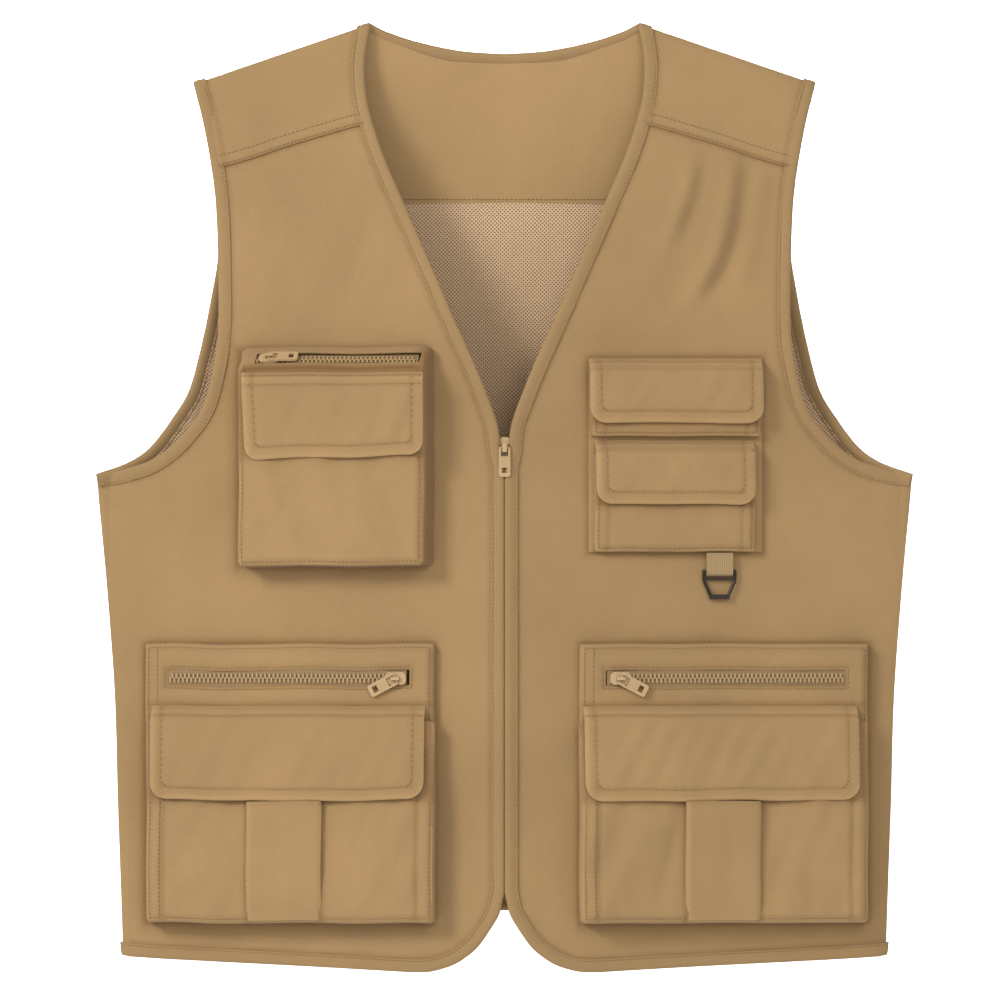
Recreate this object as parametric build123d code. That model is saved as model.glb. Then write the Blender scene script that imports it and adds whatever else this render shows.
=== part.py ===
from build123d import *
import os
from math import cos, radians, sin, tan

# Fishing vest, upright as it hangs, in millimetres. The front faces -Y and +Z is up. The origin is on the
# centre plane at the height of the neck points, where a hanger carries the shoulders. Right and left are the
# wearer's, so the right front lies at -X. Each front turns about its side seam.

os.makedirs("parts", exist_ok=True)

# Body of the vest
CLOTH = 1.0  # one panel with its seam allowances
GAP = 0.05  # between layers that are sewn to each other
SEAM_X = 263.8  # side seam, the line that a front turns about
SEAM_GAP = 1.0  # from that line to the front's edge and to the back's edge
SEAM_Y = 3.0  # from the middle plane to each panel at the side seam and the shoulder
TILT = 8.0  # degrees that a panel stands out from the side seam towards the centre
FOLD_Z = -225.0  # fronts and back are flat below this and lean to the shoulder above it
NECK_X = 95.0  # neck point, at z = 0
SHOULDER_SLOPE = 0.3415
BACK_DEPTH = 34.0  # how far the back stands out at its centre
REACH = 292.0  # half width of the blanks that panels are cut from
LOWEST_Z = -700.0
BINDING = 8.5  # width of the bindings and bands
BAND = 0.8  # thickness of a binding or band on the panel's face
LIP_X = 2.6  # edge of a front beside the main zip
THROAT_X = 4.6  # the same where the parked slider hangs
THROAT_Z = -319.0

# Zips, all of one size
ROW_IN, ROW_OUT = 0.9, 3.4  # inner and outer edge of a row of teeth from the zip's centre line
ROW_THICK = 2.1
TOOTH_PITCH = 3.0
TOOTH_WIDTH = 1.6
CORE_WIDTH = 1.3  # solid outer part of a row, which the teeth stand on
TAPE_OUT = 11.0
TAPE_THICK = 0.8
PLATE = 1.1  # slider plates
PLATE_GAP = 0.35  # from a plate to the teeth
SLIDER_LENGTH = 15.0
SLIDER_HALF_WIDTH = 4.5
PIN_SIDE = 1.8
PIN_LENGTH = 9.0
PIN_DROP = 9.6  # from the end of the teeth to the middle of the insertion pin and its box
RETAINER_WIDTH, RETAINER_DEPTH = 4.6, 4.2
SLIDER_REST = 0.5  # from a closed pocket slider to the end of the teeth
BRIDGE_LENGTH = 6.4
BRIDGE_WINDOW = 2.0  # height of the bridge's opening
PULL_LENGTH = 21.0
PULL_THICK = 1.5

# Main zip
MAIN_ZIP_Y = -36.0
MAIN_TOP_Z = -307.0
MAIN_BOTTOM_Z = -600.0
MAIN_SLIDER_Z = -298.0

# Pockets, as edges at x (towards the side seam, towards the centre) and z
WALL = 1.0
FLAP = 1.0
TAPE = 0.8  # hook tape and loop tape
BACKING_N = 9.5  # outer face of a cargo pocket's zipped compartment, from the panel's middle surface
CARGO_RIGHT = {"side": -1, "x": (-252.4, -50.0), "slot": (-236.5, -66.5), "flap": (-248.6, -57.0), "pleat": -155.0}
CARGO_LEFT = {"side": 1, "x": (54.0, 256.0), "slot": (71.5, 240.0), "flap": (57.0, 249.0), "pleat": 153.0}
CARGO_TOP, CARGO_BOTTOM = -436.0, -631.0
CARGO_ZIP_Z = -459.6
SLOT_HEIGHT = 11.0
BAG_N = 21.5  # front of a cargo pocket's bag
PLEAT_WIDTH = 52.0
CARGO_FLAP_TOP, CARGO_FLAP_BOTTOM = -479.5, -544.6
PULL_DROOP = 28.0  # degrees below level at which the cargo pulls rest
BOX_X = (-187.0, -57.0)
BOX_TOP, BOX_BOTTOM, BOX_DEPTH = -228.0, -381.0, 26.0
BOX_FLAP_X = (-184.0, -57.0)
PATCH_X = (59.0, 181.0)
PATCH_TOP, PATCH_BOTTOM = -235.0, -371.0
RING_X, RING_Z, RING_N = 150.9, -385.5, 3.1  # centre of the bar that the D-ring hangs by
RING_BAR = 1.15
RING_HORN = 0.9  # how far the ring's arms reach above that bar, short enough to turn beside the panel
RING_GUARD_DROP, RING_GUARD_BAR = 4.4, 0.9  # thinner bar just below the webbing
RING_WIDEST_DROP = 5.6  # where the arms turn inward
RING_DROP = 16.5  # down to the low bar
RING_LOW_HALF_WIDTH = 6.2
WEBBING_WIDTH = 19.0

nodes = {}


def shoulder_z(x):
    return -SHOULDER_SLOPE * (x - NECK_X)


def panel_y(x):
    """Distance of the flat part of a panel from the middle plane."""
    return SEAM_Y + tan(radians(TILT)) * (SEAM_X - x)


def back_y(x):
    """The same for the back, which is curved across."""
    return SEAM_Y + BACK_DEPTH * (1 - (x / SEAM_X) ** 2)


def half_sheet(facing, side, near, far):
    """One side of the front (facing -1) or back (+1): the layer from near to far outside its middle surface."""
    across = [0.0, REACH] if facing < 0 else [REACH * i / 6 for i in range(7)]
    lower_y = panel_y if facing < 0 else back_y

    def section(z_of, y_of):
        corners = [(x, near) for x in across] + [(x, far) for x in across[::-1]]
        points = [(side * x, facing * (y_of(x) + d), z_of(x)) for x, d in corners]
        return Face(Wire.make_polygon(points, close=True))

    fold = section(lambda x: FOLD_Z, lower_y)
    bottom = section(lambda x: LOWEST_Z, lower_y)
    shoulder = section(shoulder_z, lambda x: SEAM_Y)
    return loft([bottom, fold], ruled=True) + loft([fold, shoulder], ruled=True)


def outline(side, *runs):
    """Closed face from runs of points, each a line when it has two points and a smooth curve otherwise."""
    edges = []
    for run in runs:
        points = [(side * x, z) for x, z in run]
        edges.append(Line(*points) if len(points) == 2 else Spline(*points))
    return make_face(edges)


def through(face):
    """The face, drawn in X and Z, as a prism right through the vest."""
    return extrude(Plane.XZ * face, amount=REACH, both=True)


def ribbon(side, run, inward, width=BINDING):
    """Strip beside a run of points, on the run's left for inward = 1 and on its right for inward = -1."""
    moved = []
    for i, (x, z) in enumerate(run):
        before, after = run[max(i - 1, 0)], run[min(i + 1, len(run) - 1)]
        step = Vector(after[0] - before[0], after[1] - before[1]).normalized()
        moved.append((x - inward * width * step.Y, z + inward * width * step.X))
    return outline(side, run, [run[-1], moved[-1]], moved[::-1], [moved[0], run[0]])


# Outlines, as (x, z) on the wearer's left side
YOKE_SEAM = [(203.5, -101.0), (150.0, -87.0), (93.0, -71.0)]
NECK_FRONT = [(93.0, -70.5), (97.0, -48.0), (99.0, -25.0), (93.5, 0.5)]
V_EDGE = [(93.0, -71.0), (70.0, -129.0), (37.0, -205.0), (20.0, -243.0), (THROAT_X, -286.0)]
ARMHOLE_FRONT = [(203.5, -101.0), (200.5, -170.0), (200.5, -215.0), (212.0, -270.0), (236.0, -299.0), (262.8, -312.5)]
ARMHOLE_BACK = [(218.0, -42.0), (205.0, -103.0), (206.0, -192.0), (221.0, -256.0), (249.0, -298.0), (287.0, -317.0)]
SIDE_EDGE = [(287.0, -317.0), (279.0, -405.0), (272.0, -545.0), (268.0, -650.0)]
HEM_FRONT = [(262.8, -654.8), (143.0, -661.0), (65.0, -665.5)]
HEM_CORNER = [(65.0, -665.5), (38.0, -661.0), (19.0, -647.0), (8.0, -631.0), (LIP_X, -615.0)]
HEM_BACK = [(268.0, -650.0), (180.0, -640.0), (90.0, -628.0), (0.0, -624.0)]
NECK_BACK = [(0.0, -21.0), (45.0, -17.0), (80.0, -7.0), (94.0, 0.3)]


def front_face(side):
    """Outline of a front below the yoke seam."""
    return outline(
        side,
        V_EDGE,
        [(THROAT_X, -286.0), (THROAT_X, THROAT_Z)],
        [(THROAT_X, THROAT_Z), (LIP_X, THROAT_Z - 4.0)],
        [(LIP_X, THROAT_Z - 4.0), (LIP_X, -615.0)],
        HEM_CORNER[::-1],
        HEM_FRONT[::-1],
        [(262.8, -654.8), (262.8, -312.5)],
        ARMHOLE_FRONT[::-1],
        YOKE_SEAM,
    )


def back_face(side):
    """Outline of one half of the back up to the shoulder line."""
    return outline(
        side,
        NECK_BACK,
        [(94.0, 0.3), (218.0, -42.0)],
        ARMHOLE_BACK,
        SIDE_EDGE,
        HEM_BACK,
        [(0.0, -624.0), (0.0, -21.0)],
    )


def yoke_face(side):
    """Outline of the front part of a shoulder yoke, down to its seam."""
    return outline(
        side,
        NECK_FRONT,
        [(93.5, 0.5), (218.0, -42.0)],
        [(218.0, -42.0), (211.0, -70.0), (204.2, -100.5)],
        [(204.2, -100.5), (150.0, -86.5), (93.0, -70.5)],
    )


def layer(facing, side, near, far, face):
    return half_sheet(facing, side, near, far) & through(face)


def both_sides(make):
    return make(-1) + make(1)


def make_back():
    """Back panel with the strips that reach round to the side seams, its facing, lining, bindings and hem."""
    half = CLOTH / 2
    panel = both_sides(lambda side: layer(1, side, -half, half, back_face(side)))
    for side in (-1, 1):
        strip = outline(
            side,
            [(SEAM_X + SEAM_GAP + 0.3, -312.8), (287.0, -317.0)],
            SIDE_EDGE,
            [(268.0, -650.0), (SEAM_X + SEAM_GAP + 0.3, -652.0)],
            [(SEAM_X + SEAM_GAP + 0.3, -652.0), (SEAM_X + SEAM_GAP + 0.3, -312.8)],
        )
        panel += extrude(Plane.XZ * strip, amount=SEAM_Y + half, both=True)
    nodes["back_panel"] = panel

    inside = -half - GAP
    nodes["back_yoke_facing"] = both_sides(
        lambda side: layer(
            1,
            side,
            inside - BAND,
            inside,
            outline(
                side,
                [(0.0, -31.0), (50.0, -26.0), (86.0, -14.0), (104.0, -5.0)],
                [(104.0, -5.0), (208.0, -41.0)],
                [(208.0, -41.0), (197.0, -90.0), (196.0, -131.0)],
                [(196.0, -131.0), (110.0, -128.0), (0.0, -126.0)],
                [(0.0, -126.0), (0.0, -31.0)],
            ),
        )
    )
    nodes["back_mesh_lining"] = both_sides(
        lambda side: layer(
            1,
            side,
            inside - BAND,
            inside,
            outline(
                side,
                [(0.0, -126.4), (110.0, -128.4), (196.0, -131.4)],
                [(196.0, -131.4), (197.5, -200.0), (213.0, -262.0), (243.0, -303.0), (258.0, -316.0)],
                [(258.0, -316.0), (258.0, -637.0)],
                [(258.0, -637.0), (180.0, -629.5), (90.0, -618.0), (0.0, -614.5)],
                [(0.0, -614.5), (0.0, -126.4)],
            ),
        )
    )
    nodes["neck_binding"] = both_sides(
        lambda side: layer(1, side, inside - BAND, inside, ribbon(side, NECK_BACK, -1) & back_face(side))
    )
    for side, name in ((-1, "right"), (1, "left")):
        strip = ribbon(side, ARMHOLE_BACK[:-1], -1)
        nodes[f"armhole_binding_back_{name}"] = layer(1, side, half + GAP, half + GAP + BAND, strip & back_face(side))
    hem = [(262.0, -649.3)] + HEM_BACK[1:]
    nodes["back_hem_band"] = both_sides(
        lambda side: layer(1, side, half + GAP, half + GAP + BAND, ribbon(side, hem, -1) & back_face(side))
    )


def make_yoke(side, name):
    """Front part of a shoulder yoke, closed over the shoulder line to the back panel."""
    half = CLOTH / 2
    front = layer(-1, side, -half, half, yoke_face(side))
    ridge = make_face(
        Polyline(
            (side * 95.5, -0.2),
            (side * 217.0, -41.7),
            (side * 216.8, -43.2),
            (side * 95.5, -1.7),
            close=True,
        )
    )
    depth = 2 * SEAM_Y - CLOTH - GAP
    front += Pos(0, -SEAM_Y + depth + half - CLOTH / 2, 0) * extrude(Plane.XZ * ridge, amount=depth)
    nodes[f"shoulder_yoke_{name}"] = front


def make_front(side, name):
    """Front panel with its edge band (V-neck, zip edge and hem) and armhole binding."""
    half = CLOTH / 2
    face = front_face(side)
    nodes[f"front_panel_{name}"] = layer(-1, side, -half, half, face)
    edge = ribbon(side, V_EDGE, 1)
    edge += ribbon(side, [(THROAT_X, -280.0), (THROAT_X, THROAT_Z - 4.0)], 1)
    edge += ribbon(side, [(LIP_X, THROAT_Z), (LIP_X, -613.0)], 1)
    edge += ribbon(side, HEM_CORNER, -1) + ribbon(side, HEM_FRONT, -1)
    armhole = ribbon(side, ARMHOLE_FRONT, -1)
    nodes[f"armhole_binding_front_{name}"] = layer(-1, side, half + GAP, half + GAP + BAND, armhole & face)
    nodes[f"front_edge_band_{name}"] = layer(-1, side, half + GAP, half + GAP + BAND, edge & face)


def tooth_row(length):
    """Comb of teeth along +X from the origin, standing from ROW_IN to ROW_OUT on +Y, centred on Z."""
    count = int(length // TOOTH_PITCH)
    core = ROW_OUT - CORE_WIDTH
    points = [(0.0, ROW_OUT)]
    for i in range(count):
        start = i * TOOTH_PITCH
        points += [(start, core), (start, ROW_IN), (start + TOOTH_WIDTH, ROW_IN), (start + TOOTH_WIDTH, core)]
    points += [(count * TOOTH_PITCH, core), (count * TOOTH_PITCH, ROW_OUT)]
    comb = make_face(Polyline(*points[1:], points[0], points[1]))
    return Pos(0, 0, -ROW_THICK / 2) * extrude(comb, amount=ROW_THICK)


def zip_row(length):
    """A row of teeth with a stop at each end."""
    stop = Box(1.2, CORE_WIDTH, ROW_THICK)
    y = ROW_OUT - CORE_WIDTH / 2
    return tooth_row(length) + Pos(-0.6, y, 0) * stop + Pos(length // TOOTH_PITCH * TOOTH_PITCH + 0.6, y, 0) * stop


def zip_tape(length, outer=TAPE_OUT):
    inner = ROW_OUT + GAP
    return Pos(length / 2, (inner + outer) / 2, 0) * Box(length + 6.0, outer - inner, TAPE_THICK)


def slider(stem=0.0, bridge_width=2.2):
    """Slider centred on the teeth: it runs along X, +Z is outward, its bridge carries the pull."""
    plate_z = ROW_THICK / 2 + PLATE_GAP
    half = SLIDER_HALF_WIDTH
    body = Pos(0, 0, plate_z + PLATE / 2) * fillet(Box(SLIDER_LENGTH, 2 * half, PLATE).edges() | Axis.Z, 3.5)
    body += Pos(0, 0, -plate_z - PLATE / 2) * fillet(Box(SLIDER_LENGTH, 2 * half, PLATE).edges() | Axis.Z, 3.5)
    flange = plate_z - TAPE_THICK / 2 - 0.25
    for y in (-1, 1):
        for z in (-1, 1):
            body += Pos(0, y * (half - 0.3), z * (plate_z - flange / 2)) * Box(SLIDER_LENGTH - 7.2, 0.6, flange)
    body += Pos(SLIDER_LENGTH / 2 - 3.0, 0, 0) * Box(2.4, 1.0, 2 * plate_z + 0.2)
    base = plate_z + PLATE
    height = stem + BRIDGE_WINDOW + 1.0
    bridge = Pos(0, 0, base + height / 2) * Box(BRIDGE_LENGTH, bridge_width, height)
    bridge = fillet(bridge.faces().sort_by(Axis.Z)[-1].edges() | Axis.Y, 0.9)
    bridge -= Pos(0, 0, base + stem + BRIDGE_WINDOW / 2) * Box(BRIDGE_LENGTH - 2.0, 9.0, BRIDGE_WINDOW)
    return body + bridge


def pull(width=9.0, eye=2.9):
    """Pull tab with its eye's bar on the origin along Y; the tab points along +X."""
    tab = Pos(PULL_LENGTH / 2 - 0.75, 0, 0) * Box(PULL_LENGTH + 0.3, width, PULL_THICK)
    tab = fillet(tab.edges() | Axis.Z, 2.0)
    eye_length = 5.6
    tab -= Pos(eye_length / 2 + 0.4, 0, 0) * Box(eye_length, 2 * eye, 4.0)
    tab -= Pos(-5.0 + 0.4, 0, 0) * Box(10.0, 2 * width, 4.0)
    tab -= Pos(PULL_LENGTH - 5.2, 0, 0) * Box(3.6, width - 4.4, 4.0)
    bar = Cylinder(0.6, width - 0.6, rotation=(90, 0, 0))
    return tab + bar


def main_zip(side, name):
    """Tape and teeth of the main zip on one front."""
    length = MAIN_TOP_Z - MAIN_BOTTOM_Z
    # X runs down the zip and Z towards the wearer's outside; the row stands on the front's own side
    frame = Plane(origin=(0, MAIN_ZIP_Y, MAIN_TOP_Z), x_dir=(0, 0, -1), z_dir=(0, -1, 0))
    turn = 1 if (frame.y_dir.X > 0) == (side > 0) else -1
    row = zip_row(length)
    tape = zip_tape(length, 16.0)
    if turn < 0:
        row = mirror(row, Plane.XZ)
        tape = mirror(tape, Plane.XZ)
    nodes[f"main_zip_teeth_{name}"] = frame * (Pos(1.3, 0, 0) * row)
    nodes[f"main_zip_tape_{name}"] = frame * (Pos(1.3, 0, 0) * tape)


def make_main_zip():
    for side, name in ((-1, "right"), (1, "left")):
        main_zip(side, name)
    end_z = MAIN_BOTTOM_Z - PIN_DROP
    pin_x = (ROW_IN + ROW_OUT) / 2
    nodes["insertion_pin"] = Pos(-pin_x, MAIN_ZIP_Y, end_z) * Box(PIN_SIDE, PIN_SIDE, PIN_LENGTH)
    box = Pos(pin_x + 0.5, MAIN_ZIP_Y, end_z) * Box(RETAINER_WIDTH, RETAINER_DEPTH, PIN_LENGTH)
    nodes["retainer_box"] = fillet(box.edges() | Axis.Z, 0.8)
    frame = Plane(origin=(0, MAIN_ZIP_Y, MAIN_SLIDER_Z), x_dir=(0, 0, 1), z_dir=(0, -1, 0))
    nodes["main_slider"] = frame * slider(stem=3.1, bridge_width=3.2)
    pivot = ROW_THICK / 2 + PLATE_GAP + PLATE + 3.1 + BRIDGE_WINDOW / 2
    hanging = Plane(origin=(0, MAIN_ZIP_Y - pivot, MAIN_SLIDER_Z), x_dir=(0, 0, -1), z_dir=(0, -1, 0))
    nodes["main_pull"] = hanging * pull(width=8.2, eye=2.4)


# Pockets are drawn in their front's own frame: u along the panel, n outward from its middle surface, z up.
def on_front(side):
    return Location((side * SEAM_X, -SEAM_Y, 0), (0, 0, side * TILT))


def along(side, x, n=0.0):
    """u of a point that lies at x in the vest's frame and n outside the panel."""
    tilt = radians(TILT)
    return (x - side * SEAM_X - side * n * sin(tilt)) / cos(tilt)


def block(u, n, z):
    size = (u[1] - u[0], n[1] - n[0], z[1] - z[0])
    return Pos((u[0] + u[1]) / 2, -(n[0] + n[1]) / 2, (z[0] + z[1]) / 2) * Box(*size)


def extrusion(u, profile):
    """Prism along the panel of a profile given as (n, z) points."""
    face = make_face(Polyline(*[(-n, z) for n, z in profile], close=True))
    return extrude(Plane.YZ.offset(u[0]) * face, amount=u[1] - u[0])


def bag(u, profile):
    """Pocket bag of that outer profile, open at the top and towards the panel."""
    inside = [(n - WALL, z + WALL) for n, z in profile]
    return extrusion(u, profile) - extrusion((u[0] + WALL, u[1] - WALL), inside)


def strip_on(u, line, near, far):
    """Strip between two distances outside a line of (n, z) points."""
    return extrusion(u, [(n + near, z) for n, z in line] + [(n + far, z) for n, z in line[::-1]])


def flap_blank(u, line, radius):
    """Flap along a line of (n, z) points for its inner face, with rounded lower corners."""
    height = line[0][1] - line[-1][1] + 2 * radius
    rounded = RectangleRounded(u[1] - u[0], height, radius)
    mask = Pos((u[0] + u[1]) / 2, 0, line[-1][1] + height / 2) * extrude(Plane.XZ * rounded, amount=80, both=True)
    return strip_on(u, line, 0.0, FLAP) & mask


def make_flap(side, name, u, line, radius, tape_z, tape_u, front_of):
    """Flap with a hook tape under it, and the loop tape that it closes on; front_of gives n there at z."""
    inner = line[-2], line[-1]
    slope = (inner[1][0] - inner[0][0]) / (inner[1][1] - inner[0][1])
    flap_n = [(inner[0][0] + slope * (z - inner[0][1]), z) for z in tape_z]
    place = on_front(side)
    nodes[f"{name}_flap"] = place * flap_blank(u, line, radius)
    nodes[f"{name}_hook_tape"] = place * strip_on(tape_u, flap_n, -GAP - TAPE, -GAP)
    bag_n = [(front_of(z), z) for z in tape_z]
    return place * strip_on(tape_u, bag_n, GAP, GAP + TAPE)


def zip_in(place, length, name, start, direction, droop, tape_outer=TAPE_OUT):
    """Pocket zip: place is its frame, +X along the slot and +Z outward; direction is where the slider points."""
    rows = zip_row(length) + mirror(zip_row(length), Plane.XZ)
    tapes = zip_tape(length, tape_outer) + mirror(zip_tape(length, tape_outer), Plane.XZ)
    nodes[f"{name}_zip_teeth"] = place * rows
    nodes[f"{name}_zip_tape"] = place * tapes
    stand = place * (Pos(start, 0, 0) * Rot(0, 0, 0 if direction > 0 else 180))
    nodes[f"{name}_slider"] = stand * slider()
    pivot = ROW_THICK / 2 + PLATE_GAP + PLATE + BRIDGE_WINDOW / 2
    swing = stand * (Pos(0, 0, pivot) * Rot(0, 0, 180 + droop))
    nodes[f"{name}_pull"] = swing * pull()


def make_cargo(pocket, name):
    """Cargo pocket: a flat zipped compartment with a bellows bag on it, closed by a flap."""
    side = pocket["side"]
    place = on_front(side)
    u = [along(side, x, 10.0) for x in pocket["x"]]
    base = CLOTH / 2 + GAP
    backing = block(u, (base, BACKING_N), (CARGO_BOTTOM, CARGO_TOP))
    backing -= block((u[0] + 2, u[1] - 2), (base + WALL, BACKING_N - WALL), (CARGO_BOTTOM + 2, CARGO_TOP - 2))
    slot = [along(side, x, BACKING_N) for x in pocket["slot"]]
    slot_z = (CARGO_ZIP_Z - SLOT_HEIGHT / 2, CARGO_ZIP_Z + SLOT_HEIGHT / 2)
    backing -= block(slot, (BACKING_N - 2 * WALL, BACKING_N + 1), slot_z)
    nodes[f"{name}_backing"] = place * backing

    # the zip's frame starts at the slot's outer end and runs towards the centre of the vest
    zip_n = BACKING_N - WALL - GAP - TAPE_THICK / 2
    outer_u = slot[0] if side < 0 else slot[1]
    inward = 1 if side < 0 else -1
    length = slot[1] - slot[0] - 4.0
    local = Plane(origin=(outer_u + inward * 2.0, -zip_n, CARGO_ZIP_Z), x_dir=(inward, 0, 0), z_dir=(0, -1, 0))
    start = length - SLIDER_LENGTH / 2 - SLIDER_REST
    zip_in(place * local.location, length, name, start, 1, -side * PULL_DROOP)

    front = [(15.8, -490.0), (20.3, -545.0), (BAG_N, -560.0)]
    near = BACKING_N + GAP
    profile = [(near, -490.0)] + front + [(BAG_N, -626.0), (BAG_N - 4.0, CARGO_BOTTOM), (near, CARGO_BOTTOM)]
    bag_u = [along(side, x, BAG_N) for x in pocket["x"]]
    cargo_bag = bag(bag_u, profile)
    pleat_centre = along(side, pocket["pleat"], BAG_N + 3.0)
    pleat_u = (pleat_centre - PLEAT_WIDTH / 2, pleat_centre + PLEAT_WIDTH / 2)
    pleat = [(BAG_N - 1.0, -549.0), (BAG_N + 3.0, -552.0), (BAG_N + 3.0, -623.0), (BAG_N - 1.0, -626.0)]
    nodes[f"{name}_bag"] = place * (cargo_bag + extrusion(pleat_u, pleat))

    line = [(BACKING_N + 0.4, CARGO_FLAP_TOP), (17.9, -491.0), (22.7, CARGO_FLAP_BOTTOM)]
    flap_u = [along(side, x, 22.0) for x in pocket["flap"]]
    tape_u = (flap_u[0] + 14.0, flap_u[1] - 14.0)
    slope = (front[1][0] - front[0][0]) / (front[1][1] - front[0][1])
    loop = make_flap(
        side, name, flap_u, line, 11.0, (-518.0, -537.0), tape_u, lambda z: front[0][0] + slope * (z - front[0][1])
    )
    nodes[f"{name}_loop_tape"] = loop


def make_chest_box():
    """Box pocket on the right chest, with a zip in its sloping top and a flap on its front."""
    side = -1
    place = on_front(side)
    base = CLOTH / 2 + GAP
    u = (along(side, BOX_X[0], BOX_DEPTH), along(side, BOX_X[1], BOX_DEPTH))
    slope_in, slope_out = (7.0, BOX_TOP), (BOX_DEPTH, -243.0)
    profile = [(base, BOX_TOP), slope_in, slope_out, (BOX_DEPTH, -377.0), (22.0, BOX_BOTTOM), (base, BOX_BOTTOM)]
    inside = [
        (base + WALL, BOX_TOP - WALL),
        (slope_in[0] - WALL / 3, BOX_TOP - WALL),
        (BOX_DEPTH - WALL, -243.0 - WALL / 2),
        (BOX_DEPTH - WALL, -377.0),
        (22.0, BOX_BOTTOM + WALL),
        (base + WALL, BOX_BOTTOM + WALL),
    ]
    box = extrusion(u, profile) - extrusion((u[0] + WALL, u[1] - WALL), inside)
    mid_n = (slope_in[0] + slope_out[0]) / 2
    mid_z = (slope_in[1] + slope_out[1]) / 2
    run, drop = slope_out[0] - slope_in[0], slope_in[1] - slope_out[1]
    length = (run**2 + drop**2) ** 0.5
    # the zip's frame lies in the sloping top: +X along the slot, +Z along the slope's outward normal
    top = Plane(origin=(u[0] + 11.0, -mid_n, mid_z), x_dir=(1, 0, 0), z_dir=(0, -drop / length, run / length))
    slot_length = u[1] - u[0] - 12.0 - 2.0
    slot = top.location * (Pos(slot_length / 2, 0, 0) * Box(slot_length, SLOT_HEIGHT, 8.0))
    nodes["chest_box_pocket"] = place * (box - slot)
    depth = WALL + GAP + TAPE_THICK / 2
    frame = place * top.location * Pos(2.0, 0, -depth)
    zip_in(frame, slot_length - 4.0, "chest_box", SLIDER_LENGTH / 2 + SLIDER_REST, -1, 0.0, tape_outer=9.0)

    line = [(BOX_DEPTH + 0.4, -245.5), (BOX_DEPTH + 2.2, -256.0), (BOX_DEPTH + 2.8, -302.5)]
    flap_u = [along(side, x, BOX_DEPTH) for x in BOX_FLAP_X]
    tape_u = (flap_u[0] + 10.0, flap_u[1] - 10.0)
    loop = make_flap(side, "chest_box", flap_u, line, 9.0, (-278.0, -296.0), tape_u, lambda z: BOX_DEPTH)
    nodes["chest_box_loop_tape"] = loop


def make_chest_patch():
    """Flat patch on the left chest with an upper and a lower bag, each closed by a flap."""
    side = 1
    place = on_front(side)
    base = CLOTH / 2 + GAP
    u = [along(side, x, 2.0) for x in PATCH_X]
    backing = block(u, (base, base + WALL), (PATCH_BOTTOM, PATCH_TOP))
    nodes["chest_patch_backing"] = place * backing
    near = base + WALL + GAP
    loops = []
    bags = (
        ("chest_patch_upper", (60.5, 181.5), -235.7, -280.0, -290.0, 10.0),
        ("chest_patch_lower", (64.5, 175.7), -292.6, -337.0, PATCH_BOTTOM, 10.0),
    )
    for name, flap_x, top, flap_bottom, bottom, radius in bags:
        mouth = top - 9.0
        front = [(8.2, mouth), (8.8, flap_bottom + 4.0)]
        profile = [(near, mouth)] + front + [(7.6, bottom + 11.0), (near + 1.6, bottom), (near, bottom)]
        bag_u = (u[0] + 2.0, u[1] - 2.0) if name.endswith("upper") else (u[0] + 4.0, u[1] - 5.5)
        nodes[f"{name}_bag"] = place * bag(bag_u, profile)
        line = [(near + 0.4, top - 0.8), (10.2, mouth - 1.5), (11.2, flap_bottom)]
        flap_u = [along(side, x, 9.0) for x in flap_x]
        tape_u = (flap_u[0] + 10.0, flap_u[1] - 10.0)
        slope = (front[1][0] - front[0][0]) / (front[1][1] - front[0][1])
        tape_z = (flap_bottom + 17.0, flap_bottom + 5.0)
        loop = make_flap(
            side, name, flap_u, line, radius, tape_z, tape_u, lambda z: front[0][0] + slope * (z - front[0][1])
        )
        loops.append(loop)
    nodes["chest_patch_loop_tapes"] = loops[0] + loops[1]


def make_ring():
    """Webbing tab under the chest patch and the D-ring that hangs in it."""
    side = 1
    place = on_front(side)
    u = along(side, RING_X, RING_N)
    half = WEBBING_WIDTH / 2
    outer = RING_N - CLOTH / 2 - GAP
    tab = block((u - half, u + half), (RING_N - outer, RING_N + outer), (RING_Z, PATCH_BOTTOM - 0.4))
    tab += Pos(u, -RING_N, RING_Z) * Cylinder(outer, 2 * half, rotation=(0, 90, 0))
    hole = RING_BAR + 0.35
    tab -= Pos(u, -RING_N, RING_Z) * Cylinder(hole, 2 * half + 2, rotation=(0, 90, 0))
    tab -= block((u - half - 1, u + half + 1), (RING_N - hole, RING_N + hole), (RING_Z, PATCH_BOTTOM - 4.0))
    nodes["webbing_tab"] = place * tab

    top, bottom, low_z = half + RING_BAR + 0.35, RING_LOW_HALF_WIDTH, RING_Z - RING_DROP
    ring = Pos(u, -RING_N, RING_Z) * Cylinder(RING_BAR, 2 * top, rotation=(0, 90, 0))
    ring += Pos(u, -RING_N, RING_Z - RING_GUARD_DROP) * Cylinder(RING_GUARD_BAR, 2 * top, rotation=(0, 90, 0))
    for end in (-1, 1):
        start = Vector(u + end * top, -RING_N, RING_Z + RING_HORN)
        corner = Vector(u + end * top, -RING_N, RING_Z - RING_WIDEST_DROP)
        foot = Vector(u + end * bottom, -RING_N, low_z)
        for a, b in ((start, corner), (corner, foot)):
            run = b - a
            align = (Align.CENTER, Align.CENTER, Align.MIN)
            ring += Plane(origin=a, z_dir=run).location * Cylinder(RING_BAR, run.length, align=align)
        for joint in (start, corner, foot):
            ring += Pos(*joint) * Sphere(RING_BAR)
    ring += Pos(u, -RING_N, low_z - 0.6) * Box(2 * bottom + 1.6, 2.2, 3.4)
    nodes["d_ring"] = place * ring


make_back()
for side, name in ((-1, "right"), (1, "left")):
    make_yoke(side, name)
    make_front(side, name)
make_main_zip()
make_cargo(CARGO_RIGHT, "cargo_right")
make_cargo(CARGO_LEFT, "cargo_left")
make_chest_box()
make_chest_patch()
make_ring()

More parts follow.
